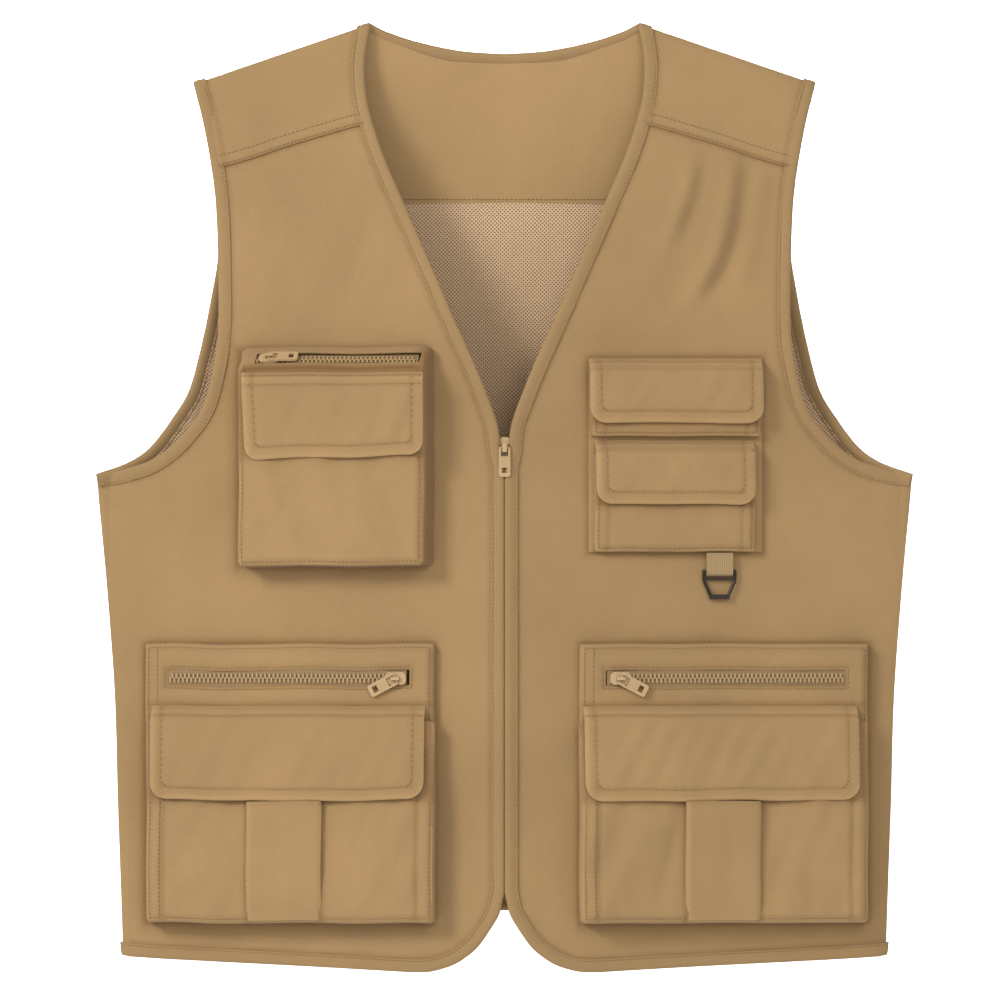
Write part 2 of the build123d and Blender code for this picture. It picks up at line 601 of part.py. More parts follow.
for node, shape in nodes.items():
    export_step(Compound(shape.solids()) if len(shape.solids()) > 1 else shape.solids()[0], f"parts/{node}.step")
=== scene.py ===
import math

import bpy
import numpy as np
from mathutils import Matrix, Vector, noise
from mathutils.geometry import delaunay_2d_cdt


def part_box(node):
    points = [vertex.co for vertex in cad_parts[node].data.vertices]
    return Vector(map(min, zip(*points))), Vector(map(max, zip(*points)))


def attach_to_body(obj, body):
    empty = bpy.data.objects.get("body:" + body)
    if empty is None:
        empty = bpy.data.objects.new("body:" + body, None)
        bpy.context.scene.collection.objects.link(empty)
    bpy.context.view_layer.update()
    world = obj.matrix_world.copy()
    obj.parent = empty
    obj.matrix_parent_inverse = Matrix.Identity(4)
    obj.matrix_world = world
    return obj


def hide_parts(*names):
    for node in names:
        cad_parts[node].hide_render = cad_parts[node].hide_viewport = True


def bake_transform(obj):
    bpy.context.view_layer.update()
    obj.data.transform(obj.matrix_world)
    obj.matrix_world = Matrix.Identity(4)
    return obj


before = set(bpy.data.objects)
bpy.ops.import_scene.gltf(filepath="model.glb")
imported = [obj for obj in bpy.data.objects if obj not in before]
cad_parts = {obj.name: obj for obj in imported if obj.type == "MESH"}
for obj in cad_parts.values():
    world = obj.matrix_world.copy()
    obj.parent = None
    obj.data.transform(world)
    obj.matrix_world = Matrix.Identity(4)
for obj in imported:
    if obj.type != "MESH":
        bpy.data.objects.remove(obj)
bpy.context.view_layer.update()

# Everything below is worked out in millimetres in the vest's frame (+X the wearer's left, -Y the front,
# +Z up) and turned into metres when a mesh is made. "side" is -1 for the wearer's right and +1 for the
# left. On a front, (u, n, z) is the front's own frame: u along the panel, n outward from its middle
# surface, z up.
MM = 0.001
TILT = math.radians(8.0)
SEAM_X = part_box("front_panel_left")[1].x / MM + 1.0
SEAM_Y = 3.0
PIT_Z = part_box("armhole_binding_front_left")[0].z / MM
FOLD_Z = -225.0
NECK_X = 95.0
TIP_X, TIP_Z = 218.0, -42.0
SHOULDER_SLOPE = -TIP_Z / (TIP_X - NECK_X)
BACK_DEPTH = 34.0
BINDING = 8.5
STITCH = 3.0
TAPE_THICK = 0.6
SIDES = ((-1, "right"), (1, "left"))

# Outlines as (x, z) on the wearer's left
V_EDGE = [
    (NECK_X, 0), (99, -25), (98, -50), (93, -71), (84, -97), (70, -129),
    (53, -168), (37, -205), (20, -243), (8, -274), (4.8, -286), (3.4, -300), (0.9, -312),
]
LIP_X = 0.9
LIP_TOP_Z = -312.0
APEX_Z = -609.0
HEM_CORNER = [(LIP_X, APEX_Z), (4, -623), (8, -631), (19, -647), (29, -655.5), (38, -660.5), (52, -664.5),
              (66, -665)]
HEM_FRONT = [(66, -665), (143, -661), (230, -657), (SEAM_X, -655)]
HEM_CORNER_SIDE = [(SEAM_X, -655), (268.2, -654)]
ARMHOLE_FRONT = [
    (TIP_X, TIP_Z), (211, -70), (205, -103), (202, -130), (200.5, -170), (200.5, -215),
    (204.7, -245), (212, -270), (224, -287), (236, -299), (250, -308), (SEAM_X, -312.6),
]
PIT_EDGE = [(SEAM_X, -312.6), (272, -315), (287, -317)]
ARMHOLE_BACK = [
    (TIP_X, TIP_Z), (211, -70), (205, -103), (202, -130), (201, -160), (206, -192),
    (212, -222), (221, -256), (233, -277), (249, -298), (265, -309), (287, -317),
]
SIDE_EDGE = [(287, -317), (279, -405), (274, -475), (272, -545), (270, -601), (268.2, -654)]
HEM_BACK = [(268.2, -654), (225, -647), (150, -636), (75, -627), (0, -624)]
NECK_BACK = [(0, -21), (30, -19), (60, -13), (82, -6), (NECK_X, 0)]
YOKE_SEAM = [(93, -71), (105, -72), (150, -85), (180, -95), (205, -102)]
FACING_EDGE_Z = -124.0


# ---- curves and surfaces -------------------------------------------------------------------------------
def smooth(points, step=3.0):
    """Catmull-Rom curve through given points, at even steps."""
    p = np.array(points, float)
    p = np.vstack([2 * p[0] - p[1], p, 2 * p[-1] - p[-2]])
    dense = []
    for i in range(1, len(p) - 2):
        t = np.linspace(0, 1, 24, endpoint=False)[:, None]
        a, b, c, d = p[i - 1], p[i], p[i + 1], p[i + 2]
        dense.append(0.5 * (2 * b + (c - a) * t + (2 * a - 5 * b + 4 * c - d) * t**2
                            + (3 * b - a - 3 * c + d) * t**3))
    return even(np.vstack(dense + [p[-2:-1]]), step)


def even(line, step):
    """The same line with points at equal distances."""
    line = np.asarray(line, float)
    lengths = np.r_[0, np.cumsum(np.linalg.norm(np.diff(line, axis=0), axis=1))]
    count = max(int(round(lengths[-1] / step)), 2)
    wanted = np.linspace(0, lengths[-1], count + 1)
    return np.stack([np.interp(wanted, lengths, line[:, k]) for k in range(line.shape[1])], axis=1)


def join(*runs):
    """Runs that follow each other as one line, without doubled points."""
    out = [np.asarray(runs[0], float)]
    for run in runs[1:]:
        out.append(np.asarray(run, float)[1:])
    return np.vstack(out)


def ramp(value, low, high):
    t = np.clip((value - low) / (high - low), 0, 1)
    return t * t * (3 - 2 * t)


def side_x(z):
    """Half width of the vest at a height below the armholes."""
    edge = np.array(SIDE_EDGE, float)
    return np.interp(-z, -edge[:, 1], edge[:, 0])


def edge_round(x, z):
    """0 on the shoulder line and the side edge, where front and back meet in a roll, and 1 a little way in."""
    to_shoulder = (-SHOULDER_SLOPE * (x - NECK_X) - z) * 0.946
    to_side = np.where(z < PIT_Z - 4, side_x(z) - x, 99.0)
    near = np.clip(np.minimum(to_shoulder / 7.0, to_side / 9.0), 0, 1)
    return np.sqrt(np.clip(1 - (1 - near) ** 2, 0, 1))


def noise_at(points, scale, seed):
    """Smooth noise from -1 to 1 at points in millimetres."""
    shift = Vector((seed * 17.3, seed * 5.1, seed * 9.7))
    return np.array([noise.noise(Vector(p) / scale + shift) for p in points])


def rise(x, z):
    """From 0 on the flat part of a panel to 1 on the shoulder line."""
    shoulder = -SHOULDER_SLOPE * (x - NECK_X)
    v = np.clip((z - FOLD_Z) / (shoulder - FOLD_Z), 0, 1)
    return v * v * (2 - v)


def crumple(x, z):
    """Small irregular drape, the same for every layer at one place and calmer under the pockets."""
    flat = np.stack([x, z, 0 * x], axis=1)
    broad = 2.2 * noise_at(flat * (1, 0.55, 1), 52.0, 1)
    fine = 0.42 * noise_at(flat * (1, 0.7, 1), 15.0, 2)
    return broad * (1 - 0.62 * ramp(-z, 205, 232)) + fine


def front_y(side, x, z):
    """Middle surface of a front or its yoke; x is the distance from the centre."""
    flat = SEAM_Y + math.tan(TILT) * (SEAM_X - x)
    v = rise(x, z)
    y = (flat * (1 - v) + SEAM_Y * v) * edge_round(x, z) + front_folds(side, x, z)
    return crumple(side * x, z) - y


# folds that run down from the wearer's left shoulder: their line, height and width
DRAG_LINES = (
    ([(160, -84), (158, -120), (147, -165), (122, -208)], 3.4, 7.0),
    ([(132, -84), (129, -112), (118, -145), (108, -168)], 2.6, 6.0),
    ([(180, -92), (176, -130), (168, -170), (160, -200)], 1.8, 8.0),
)


def drag_line(line, height, width, x, z):
    """Ridge along a line, with a shallow trough on its outer side, that fades at both ends."""
    line = smooth(line, 4)[::-1]
    middle = np.interp(z, line[:, 1], line[:, 0])
    ends = ramp(line[-1, 1] - z, 0, 28) * ramp(z - line[0, 1], 0, 34)
    off = (x - middle) / width
    return height * ends * (np.exp(-(off**2)) - 0.55 * np.exp(-((off - 1.7) ** 2)))


def front_folds(side, x, z):
    """Soft folds between the yoke seam and the pockets, and the drag lines on the wearer's left."""
    depth = 2.0 if side > 0 else 2.4
    below = ramp(-z, 86 + 0.30 * (x - 105), 140) * (1 - ramp(-z, 165, 228))
    inside = ramp(x, 66, 100) * (1 - ramp(x, 178, 202))
    streaks = np.stack([side * x - 0.36 * z, 0.16 * z, 0 * x], axis=1)
    folds = depth * noise_at(streaks, 24.0, 31) * below * inside
    if side > 0:
        folds = folds + sum(drag_line(line, height, width, x, z) for line, height, width in DRAG_LINES)
    lower = ramp(-z, 385, 405) * (1 - ramp(-z, 425, 437)) * ramp(x, 20, 60) * (1 - ramp(x, 225, 262))
    folds = folds + 0.7 * np.sin(x / 19.0 + side) * lower
    pull = noise_at(np.stack([side * x * 0.35, z * 0.8 + side * x * 0.5, 0 * x], axis=1), 26.0, 7)
    return folds + 1.6 * pull * ramp(-z, 110, 200) * (1 - ramp(-z, 212, 228)) * ramp(x, 12, 45)


def back_y(side, x, z):
    """Middle surface of the back."""
    curved = SEAM_Y + BACK_DEPTH * (1 - (x / SEAM_X) ** 2)
    v = rise(x, z)
    shape = (curved * (1 - v) + SEAM_Y * v) * edge_round(x, z)
    drape = 1.6 * np.sin(side * x / 46.0) * ramp(-z, 150, 420) * (1 - ramp(x, 215, 262))
    return shape + drape + crumple(side * x, z)


def inside_y(depth):
    """Surface of a layer that lies inside the back, depth millimetres in."""
    return lambda side, x, z: back_y(side, x, z) - depth


def place(side, points):
    """(u, n, z) points of a front as (x, y, z) in the vest's frame."""
    p = np.asarray(points, float)
    x = side * SEAM_X + p[:, 0] * math.cos(TILT) + side * p[:, 1] * math.sin(TILT)
    y = -SEAM_Y + side * p[:, 0] * math.sin(TILT) - p[:, 1] * math.cos(TILT)
    return np.stack([x, y, p[:, 2]], axis=1)


def local_box(side, node):
    """Lowest and highest (u, n, z) of a CAD node on a front."""
    co = np.array([v.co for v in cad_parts[node].data.vertices], float) / MM
    x, y = co[:, 0] - side * SEAM_X, co[:, 1] + SEAM_Y
    u = x * math.cos(TILT) + side * y * math.sin(TILT)
    n = side * x * math.sin(TILT) - y * math.cos(TILT)
    local = np.stack([u, n, co[:, 2]], axis=1)
    return local.min(0), local.max(0)


# ---- meshes --------------------------------------------------------------------------------------------
def new_mesh(name, points, faces, material, flat_shade=False, tone=None):
    """Mesh from points in millimetres; tone paints shade into the cloth where it is above 0 and paints
    highlight, partly standing for edge wear, where it is below.
    """
    mesh = bpy.data.meshes.new(name)
    mesh.from_pydata((np.asarray(points, float) * MM).tolist(), [], [tuple(f) for f in faces])
    if tone is not None:
        values = mesh.attributes.new("tone", "FLOAT", "POINT")
        values.data.foreach_set("value", np.clip(tone, -1, 1).astype(np.float32))
    mesh.validate()
    mesh.materials.append(material)
    if not flat_shade:
        mesh.shade_smooth()
    obj = bpy.data.objects.new(name, mesh)
    bpy.context.scene.collection.objects.link(obj)
    return obj


def attach(obj, finish, body, *nodes):
    """Gives a piece the body that it rides on and hides the CAD nodes that it stands for."""
    if nodes:
        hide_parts(*nodes)
    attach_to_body(obj, body)


def grid_faces(rows, cols):
    """Quads of a grid of points that runs row by row."""
    return [(r * cols + c, r * cols + c + 1, (r + 1) * cols + c + 1, (r + 1) * cols + c)
            for r in range(rows - 1) for c in range(cols - 1)]


def thicken(obj, thickness):
    """Gives a surface its cloth's thickness, with a crisp rim."""
    solid = obj.modifiers.new("thickness", "SOLIDIFY")
    solid.thickness = thickness * MM
    solid.offset = 0.0
    solid.use_even_offset = False
    graph = bpy.context.evaluated_depsgraph_get()
    graph.update()
    made = bpy.data.meshes.new_from_object(obj.evaluated_get(graph), depsgraph=graph)
    obj.modifiers.clear()
    obj.data = made
    made.set_sharp_from_angle(angle=math.radians(55))
    return obj


def inside_polygon(points, loop):
    x, y = points[:, 0][:, None], points[:, 1][:, None]
    ax, ay = loop[:, 0], loop[:, 1]
    bx, by = np.roll(ax, -1), np.roll(ay, -1)
    crosses = (ay > y) != (by > y)
    with np.errstate(divide="ignore", invalid="ignore"):
        at = (bx - ax) * (y - ay) / (by - ay) + ax
    return (crosses & (x < at)).sum(1) % 2 == 1


def distance_to(points, loop):
    """Distance of each point from a closed loop."""
    a, b = loop, np.roll(loop, -1, axis=0)
    ab = b - a
    best = np.full(len(points), 1e9)
    for start in range(0, len(points), 2000):
        p = points[start : start + 2000, None, :]
        t = np.clip(((p - a) * ab).sum(2) / np.maximum((ab * ab).sum(1), 1e-9), 0, 1)
        gap = np.linalg.norm(p - (a + t[..., None] * ab), axis=2).min(1)
        best[start : start + 2000] = gap
    return best


def fill(loop, step, holes=(), extra=None):
    """Triangles inside a closed loop, less its holes: (2-D points, faces). The loop's points come first."""
    loops = [np.asarray(loop, float)] + [np.asarray(h, float) for h in holes]
    low, high = loops[0].min(0), loops[0].max(0)
    rows = np.arange(low[1] + step / 2, high[1], step * 0.866)
    grid = []
    for i, y in enumerate(rows):
        xs = np.arange(low[0] + (step / 2 if i % 2 else 0), high[0], step)
        grid.append(np.stack([xs, np.full(len(xs), y)], axis=1))
    inner = np.vstack(grid)
    inner = inner[inside_polygon(inner, loops[0])]
    if extra is not None and len(extra):
        inner = inner[distance_to_points(inner, extra) > step * 0.5]
        inner = np.vstack([inner, extra])
    for k, ring in enumerate(loops):
        if k:
            inner = inner[~inside_polygon(inner, ring)]
        if len(inner):
            inner = inner[distance_to(inner, ring) > step * 0.42]
    points = np.vstack(loops + [inner])
    edges, start = [], 0
    for ring in loops:
        edges += [(start + i, start + (i + 1) % len(ring)) for i in range(len(ring))]
        start += len(ring)
    verts, _, faces, _, _, _ = delaunay_2d_cdt([Vector(p) for p in points], edges, [], 0, 1e-6)
    out = np.array([tuple(v) for v in verts])
    faces = np.array([f for f in faces if len(f) == 3])
    centre = out[faces].mean(1)
    keep = inside_polygon(centre, loops[0])
    for ring in loops[1:]:
        keep &= ~inside_polygon(centre, ring)
    return out, faces[keep]


def distance_to_points(points, others):
    best = np.full(len(points), 1e9)
    for start in range(0, len(others), 400):
        gap = np.linalg.norm(points[:, None, :] - others[None, start : start + 400, :], axis=2).min(1)
        best = np.minimum(best, gap)
    return best


def line_mark(distance, strength, width):
    return strength * np.exp(-((distance / width) ** 2))


def cloth(name, side, loop, surface, material, step=4.0, thickness=1.0, outward=-1, extra=None, marks=None):
    """Sheet of cloth: an outline in (|x|, z) filled with triangles and laid on a surface y(side, x, z)."""
    flat, faces = fill(loop, step, (), extra)
    x, z = flat[:, 0], flat[:, 1]
    points = np.stack([side * x, surface(side, x, z), z], axis=1)
    if side * outward > 0:
        faces = faces[:, ::-1]
    tone = None if marks is None else marks(flat)
    return thicken(new_mesh(name, points, faces, material, tone=tone), thickness)


def inward_along(path, normals):
    """Unit inward vectors (to the path's right, seen from outside) along a 3-D path."""
    tangent = np.gradient(path, axis=0)
    tangent /= np.linalg.norm(tangent, axis=1)[:, None]
    inward = np.cross(tangent, normals)
    return inward / np.linalg.norm(inward, axis=1)[:, None]


def sweep(name, path, normals, profile, material, flip=1.0):
    """Tube with a profile of (inward, outward) points swept along a path."""
    inward = inward_along(path, normals)
    profile = np.asarray(profile, float)
    count, width = len(path), len(profile)
    points = (
        path[:, None, :]
        + flip * inward[:, None, :] * profile[None, :, 0, None]
        + normals[:, None, :] * profile[None, :, 1, None]
    ).reshape(-1, 3)
    faces = []
    for i in range(count - 1):
        for j in range(width):
            a, b = i * width + j, i * width + (j + 1) % width
            c, d = (i + 1) * width + (j + 1) % width, (i + 1) * width + j
            faces.append((a, b, c, d) if flip > 0 else (d, c, b, a))
    first = tuple(range(width))
    last = tuple((count - 1) * width + j for j in range(width))
    faces += [first[::-1], last] if flip > 0 else [first, last[::-1]]
    swept = new_mesh(name, points, faces, material)
    swept.data.set_sharp_from_angle(angle=math.radians(75))
    return swept


def binding_profile(width, half_thick, edge=0.9, seam=7.0):
    """Section of a binding folded over a raw edge and topstitched at seam."""
    front = [
        (-edge, 0.0), (-edge * 0.8, half_thick * 0.55), (0.0, half_thick * 0.92), (1.8, half_thick * 1.1),
        (seam * 0.6, half_thick * 1.05), (seam - 0.9, half_thick * 0.8), (seam, half_thick * 0.66),
        (seam + 0.6, half_thick * 0.85), (width - 0.25, half_thick * 0.8), (width, half_thick * 0.45),
    ]
    back = [(a, -b) for a, b in front[:0:-1]]
    return front + back


STITCH_RING = 6


def stitches(name, runs, material, length=2.15, radius=0.27, pitch=STITCH):
    """Rows of thread as small rounded bars: runs is a list of (path, normals)."""
    ring = [(math.cos(2 * math.pi * k / STITCH_RING), math.sin(2 * math.pi * k / STITCH_RING))
            for k in range(STITCH_RING)]
    points, faces = [], []
    for path, normals in runs:
        lengths = np.r_[0, np.cumsum(np.linalg.norm(np.diff(path, axis=0), axis=1))]
        if lengths[-1] < pitch:
            continue
        centres = np.arange(pitch / 2, lengths[-1], pitch)
        at = lambda s, a: np.stack([np.interp(s, lengths, a[:, k]) for k in range(3)], axis=1)
        mid = at(centres, path)
        ahead = at(np.minimum(centres + 0.5, lengths[-1]), path) - at(np.maximum(centres - 0.5, 0), path)
        ahead /= np.linalg.norm(ahead, axis=1)[:, None]
        up = at(centres, normals)
        up /= np.linalg.norm(up, axis=1)[:, None]
        across = np.cross(ahead, up)
        for m, t, w, s in zip(mid, ahead, up, across):
            base = len(points)
            for along, size, lift in ((-0.5, 0.35, -0.25), (-0.3, 1.0, 0.1), (0.3, 1.0, 0.1),
                                      (0.5, 0.35, -0.25)):
                centre = m + t * along * length + w * lift * radius
                points += [centre + radius * size * (c * s * 1.25 + d * w) for c, d in ring]
            for r in range(3):
                for k in range(STITCH_RING):
                    a, b = base + r * STITCH_RING + k, base + r * STITCH_RING + (k + 1) % STITCH_RING
                    faces.append((a, b, b + STITCH_RING, a + STITCH_RING))
            faces.append(tuple(base + k for k in range(STITCH_RING))[::-1])
            faces.append(tuple(base + 3 * STITCH_RING + k for k in range(STITCH_RING)))
    return new_mesh(name, points, faces, material)


def on_surface(side, line, surface, lift, inset=0.0, outward=-1):
    """A line of (|x|, z) points laid on a surface, with normals: (path, normals). outward is the Y side."""
    line = np.asarray(line, float)
    if inset:
        step = np.gradient(line, axis=0)
        step /= np.linalg.norm(step, axis=1)[:, None]
        line = line + inset * np.stack([step[:, 1], -step[:, 0]], axis=1)
    x, z = line[:, 0], line[:, 1]
    e = 0.5
    y = surface(side, x, z)
    dx = (surface(side, x + e, z) - surface(side, x - e, z)) / (2 * e)
    dz = (surface(side, x, z + e) - surface(side, x, z - e)) / (2 * e)
    normals = np.stack([-side * dx, np.ones(len(x)), -dz], axis=1) * outward
    normals /= np.linalg.norm(normals, axis=1)[:, None]
    path = np.stack([side * x, y, z], axis=1) + normals * lift
    return path, normals


# ---- materials -----------------------------------------------------------------------------------------
def material(name):
    made = bpy.data.materials.new(name)
    made.use_nodes = True
    nodes, links = made.node_tree.nodes, made.node_tree.links
    nodes.clear()
    out = nodes.new("ShaderNodeOutputMaterial")
    shader = nodes.new("ShaderNodeBsdfPrincipled")
    links.new(shader.outputs[0], out.inputs[0])
    return made, nodes, links, shader


def texture(nodes, links, kind, **settings):
    """A texture node fed with the object's own coordinates."""
    coords = nodes.new("ShaderNodeTexCoord")
    made = nodes.new(kind)
    links.new(coords.outputs["Object"], made.inputs["Vector"])
    for key, value in settings.items():
        if key in made.inputs:
            made.inputs[key].default_value = value
        else:
            setattr(made, key, value)
    return made


def math_node(nodes, links, operation, a, b):
    made = nodes.new("ShaderNodeMath")
    made.operation = operation
    for k, value in enumerate((a, b)):
        if isinstance(value, (int, float)):
            made.inputs[k].default_value = value
        else:
            links.new(value, made.inputs[k])
    return made.outputs[0]


def shade(colour, factor):
    return tuple(min(c * factor, 1.0) for c in colour[:3]) + (1.0,)


def mixed(nodes, links, factor, first, second, blend="MIX"):
    made = nodes.new("ShaderNodeMix")
    made.data_type = "RGBA"
    made.blend_type = blend
    for socket, value in ((made.inputs[0], factor), (made.inputs[6], first), (made.inputs[7], second)):
        if isinstance(value, (int, float, tuple)):
            socket.default_value = value
        else:
            links.new(value, socket)
    return made.outputs[2]


def canvas(name, colour, weave=0.0011, bump=0.35, fade=0.10, sheen=0.12):
    """Plain-weave cotton: warp and weft ribs, slubs, faded patches and a soft sheen, with painted shade in the
    weave's hollows and, from the tone attribute, painted shade and painted highlight.
    """
    made, nodes, links, shader = material(name)
    patches = texture(nodes, links, "ShaderNodeTexNoise", Scale=9.0, Detail=4.0, Roughness=0.55)
    slubs = texture(nodes, links, "ShaderNodeTexNoise", Scale=420.0, Detail=3.0, Roughness=0.7)
    level = math_node(nodes, links, "SUBTRACT", patches.outputs[0], 0.30)
    level = math_node(nodes, links, "MULTIPLY", level, 2.2)
    base = mixed(nodes, links, level, shade(colour, 1 - fade), shade(colour, 1 + fade))
    fine = math_node(nodes, links, "MULTIPLY", slubs.outputs[0], 0.9)
    base = mixed(nodes, links, fine, base, mixed(nodes, links, 0.28, base, shade(colour, 0.55)))
    coords = nodes.new("ShaderNodeTexCoord")
    split = nodes.new("ShaderNodeSeparateXYZ")
    links.new(coords.outputs["Object"], split.inputs[0])
    turn = 2 * math.pi / weave
    across = math_node(nodes, links, "ADD", split.outputs[0], split.outputs[1])
    warp = math_node(nodes, links, "SINE", math_node(nodes, links, "MULTIPLY", across, turn), 0.0)
    weft = math_node(nodes, links, "SINE", math_node(nodes, links, "MULTIPLY", split.outputs[2], turn), 0.0)
    woven = math_node(nodes, links, "MULTIPLY", warp, weft)
    height = math_node(nodes, links, "ADD", math_node(nodes, links, "MULTIPLY", woven, 0.5), slubs.outputs[0])
    # Painted shade: the colour is darker in the weave's hollows.
    weave_hollow_shade = math_node(nodes, links, "MULTIPLY", math_node(nodes, links, "SUBTRACT", 0.4, woven), 0.16)
    base = mixed(nodes, links, weave_hollow_shade, base, shade(colour, 0.6))
    # Painted light from the tone attribute: above 0 it mixes in a dark brown as painted shade, below 0 a pale
    # tint as painted highlight that also stands for edge wear.
    tone = nodes.new("ShaderNodeAttribute")
    tone.attribute_name = "tone"
    dark = math_node(nodes, links, "MAXIMUM", tone.outputs["Fac"], 0.0)
    pale = math_node(nodes, links, "MAXIMUM",
                     math_node(nodes, links, "MULTIPLY", tone.outputs["Fac"], -1.0), 0.0)
    painted_shade_colour = (colour[0] * 0.46, colour[1] * 0.33, colour[2] * 0.21, 1.0)
    base = mixed(nodes, links, dark, base, painted_shade_colour)
    base = mixed(nodes, links, pale, base, shade(colour, 1.55))
    links.new(base, shader.inputs["Base Color"])
    lumps = nodes.new("ShaderNodeBump")
    lumps.inputs["Strength"].default_value = bump
    lumps.inputs["Distance"].default_value = 0.00035
    links.new(height, lumps.inputs["Height"])
    links.new(lumps.outputs[0], shader.inputs["Normal"])
    rough = math_node(nodes, links, "ADD", math_node(nodes, links, "MULTIPLY", slubs.outputs[0], 0.15), 0.78)
    links.new(rough, shader.inputs["Roughness"])
    shader.inputs["Sheen Weight"].default_value = sheen
    shader.inputs["Sheen Roughness"].default_value = 0.45
    shader.inputs["Specular IOR Level"].default_value = 0.25
    return made


def mesh_knit(name, colour, hole, pitch=0.0027):
    """Knitted mesh: rows of small holes on the diagonal, painted dark brown as the shell in shade behind them.
    """
    made, nodes, links, shader = material(name)
    coords = nodes.new("ShaderNodeTexCoord")
    split = nodes.new("ShaderNodeSeparateXYZ")
    links.new(coords.outputs["Object"], split.inputs[0])
    turn = math.pi / pitch
    plus = math_node(nodes, links, "ADD", split.outputs[0], split.outputs[2])
    minus = math_node(nodes, links, "SUBTRACT", split.outputs[0], split.outputs[2])
    first = math_node(nodes, links, "SINE", math_node(nodes, links, "MULTIPLY", plus, turn), 0.0)
    second = math_node(nodes, links, "SINE", math_node(nodes, links, "MULTIPLY", minus, turn), 0.0)
    product = math_node(nodes, links, "ABSOLUTE", math_node(nodes, links, "MULTIPLY", first, second), 0.0)
    edge = nodes.new("ShaderNodeMapRange")
    links.new(product, edge.inputs["Value"])
    edge.inputs["From Min"].default_value = 0.42
    edge.inputs["From Max"].default_value = 0.78
    fuzz = texture(nodes, links, "ShaderNodeTexNoise", Scale=700.0, Detail=2.0)
    tint = mixed(nodes, links, fuzz.outputs[0], shade(colour, 0.82), shade(colour, 1.15))
    # The holes take the hole colour: painted shade that stands for the shadowed shell behind the mesh.
    links.new(mixed(nodes, links, edge.outputs[0], tint, hole), shader.inputs["Base Color"])
    lumps = nodes.new("ShaderNodeBump")
    lumps.invert = True
    lumps.inputs["Strength"].default_value = 0.5
    lumps.inputs["Distance"].default_value = 0.0005
    links.new(edge.outputs[0], lumps.inputs["Height"])
    links.new(lumps.outputs[0], shader.inputs["Normal"])
    shader.inputs["Roughness"].default_value = 0.8
    shader.inputs["Sheen Weight"].default_value = 0.15
    return made


def ribbed(name, colour, pitch, bump=0.5, rough=0.75):
    """Woven tape or webbing with fine ribs across its width."""
    made, nodes, links, shader = material(name)
    ribs = texture(nodes, links, "ShaderNodeTexWave", Scale=0.314 / pitch, Distortion=0.6,
                   bands_direction="X")
    fuzz = texture(nodes, links, "ShaderNodeTexNoise", Scale=500.0, Detail=3.0)
    tone = mixed(nodes, links, fuzz.outputs[0], shade(colour, 0.85), shade(colour, 1.12))
    links.new(mixed(nodes, links, math_node(nodes, links, "MULTIPLY", ribs.outputs[1], 0.5), tone,
                    shade(colour, 0.62)),
              shader.inputs["Base Color"])
    lumps = nodes.new("ShaderNodeBump")
    lumps.inputs["Strength"].default_value = bump
    lumps.inputs["Distance"].default_value = 0.0003
    links.new(ribs.outputs[1], lumps.inputs["Height"])
    links.new(lumps.outputs[0], shader.inputs["Normal"])
    shader.inputs["Roughness"].default_value = rough
    shader.inputs["Sheen Weight"].default_value = 0.05
    return made


def hard(name, colour, rough, metallic=0.0, coat=0.0, edge_paleness=0.25):
    """Moulded plastic or enamelled metal, with fine grain and a paler tint on its sharply convex edges."""
    made, nodes, links, shader = material(name)
    grain = texture(nodes, links, "ShaderNodeTexNoise", Scale=900.0, Detail=4.0, Roughness=0.6)
    curvature = nodes.new("ShaderNodeNewGeometry")
    edge = nodes.new("ShaderNodeMapRange")
    links.new(curvature.outputs["Pointiness"], edge.inputs["Value"])
    edge.inputs["From Min"].default_value = 0.52
    edge.inputs["From Max"].default_value = 0.62
    tone = mixed(nodes, links, grain.outputs[0], shade(colour, 0.86), shade(colour, 1.14))
    paler_edges = math_node(nodes, links, "MULTIPLY", edge.outputs[0], edge_paleness)
    links.new(mixed(nodes, links, paler_edges, tone, shade(colour, 1.7)), shader.inputs["Base Color"])
    links.new(math_node(nodes, links, "ADD", math_node(nodes, links, "MULTIPLY", grain.outputs[0], 0.2),
                        rough - 0.1),
              shader.inputs["Roughness"])
    lumps = nodes.new("ShaderNodeBump")
    lumps.inputs["Strength"].default_value = 0.12
    lumps.inputs["Distance"].default_value = 0.0002
    links.new(grain.outputs[0], lumps.inputs["Height"])
    links.new(lumps.outputs[0], shader.inputs["Normal"])
    shader.inputs["Metallic"].default_value = metallic
    shader.inputs["Coat Weight"].default_value = coat
    return made


def plain(name, colour):
    made, _, _, shader = material(name)
    shader.inputs["Base Color"].default_value = colour
    shader.inputs["Roughness"].default_value = 0.9
    return made


KHAKI = (0.368, 0.230, 0.101)
SHELL = canvas("shell_canvas", KHAKI)
TRIM = canvas("binding_canvas", shade(KHAKI, 0.96), weave=0.0009, bump=0.45, fade=0.07)
# Painted light: the facing is the shell's colour made 1.14 times lighter, to make up for the bounce light that
# the inside of the back does not get.
FACING = canvas("facing_canvas", shade(KHAKI, 1.14), fade=0.06)
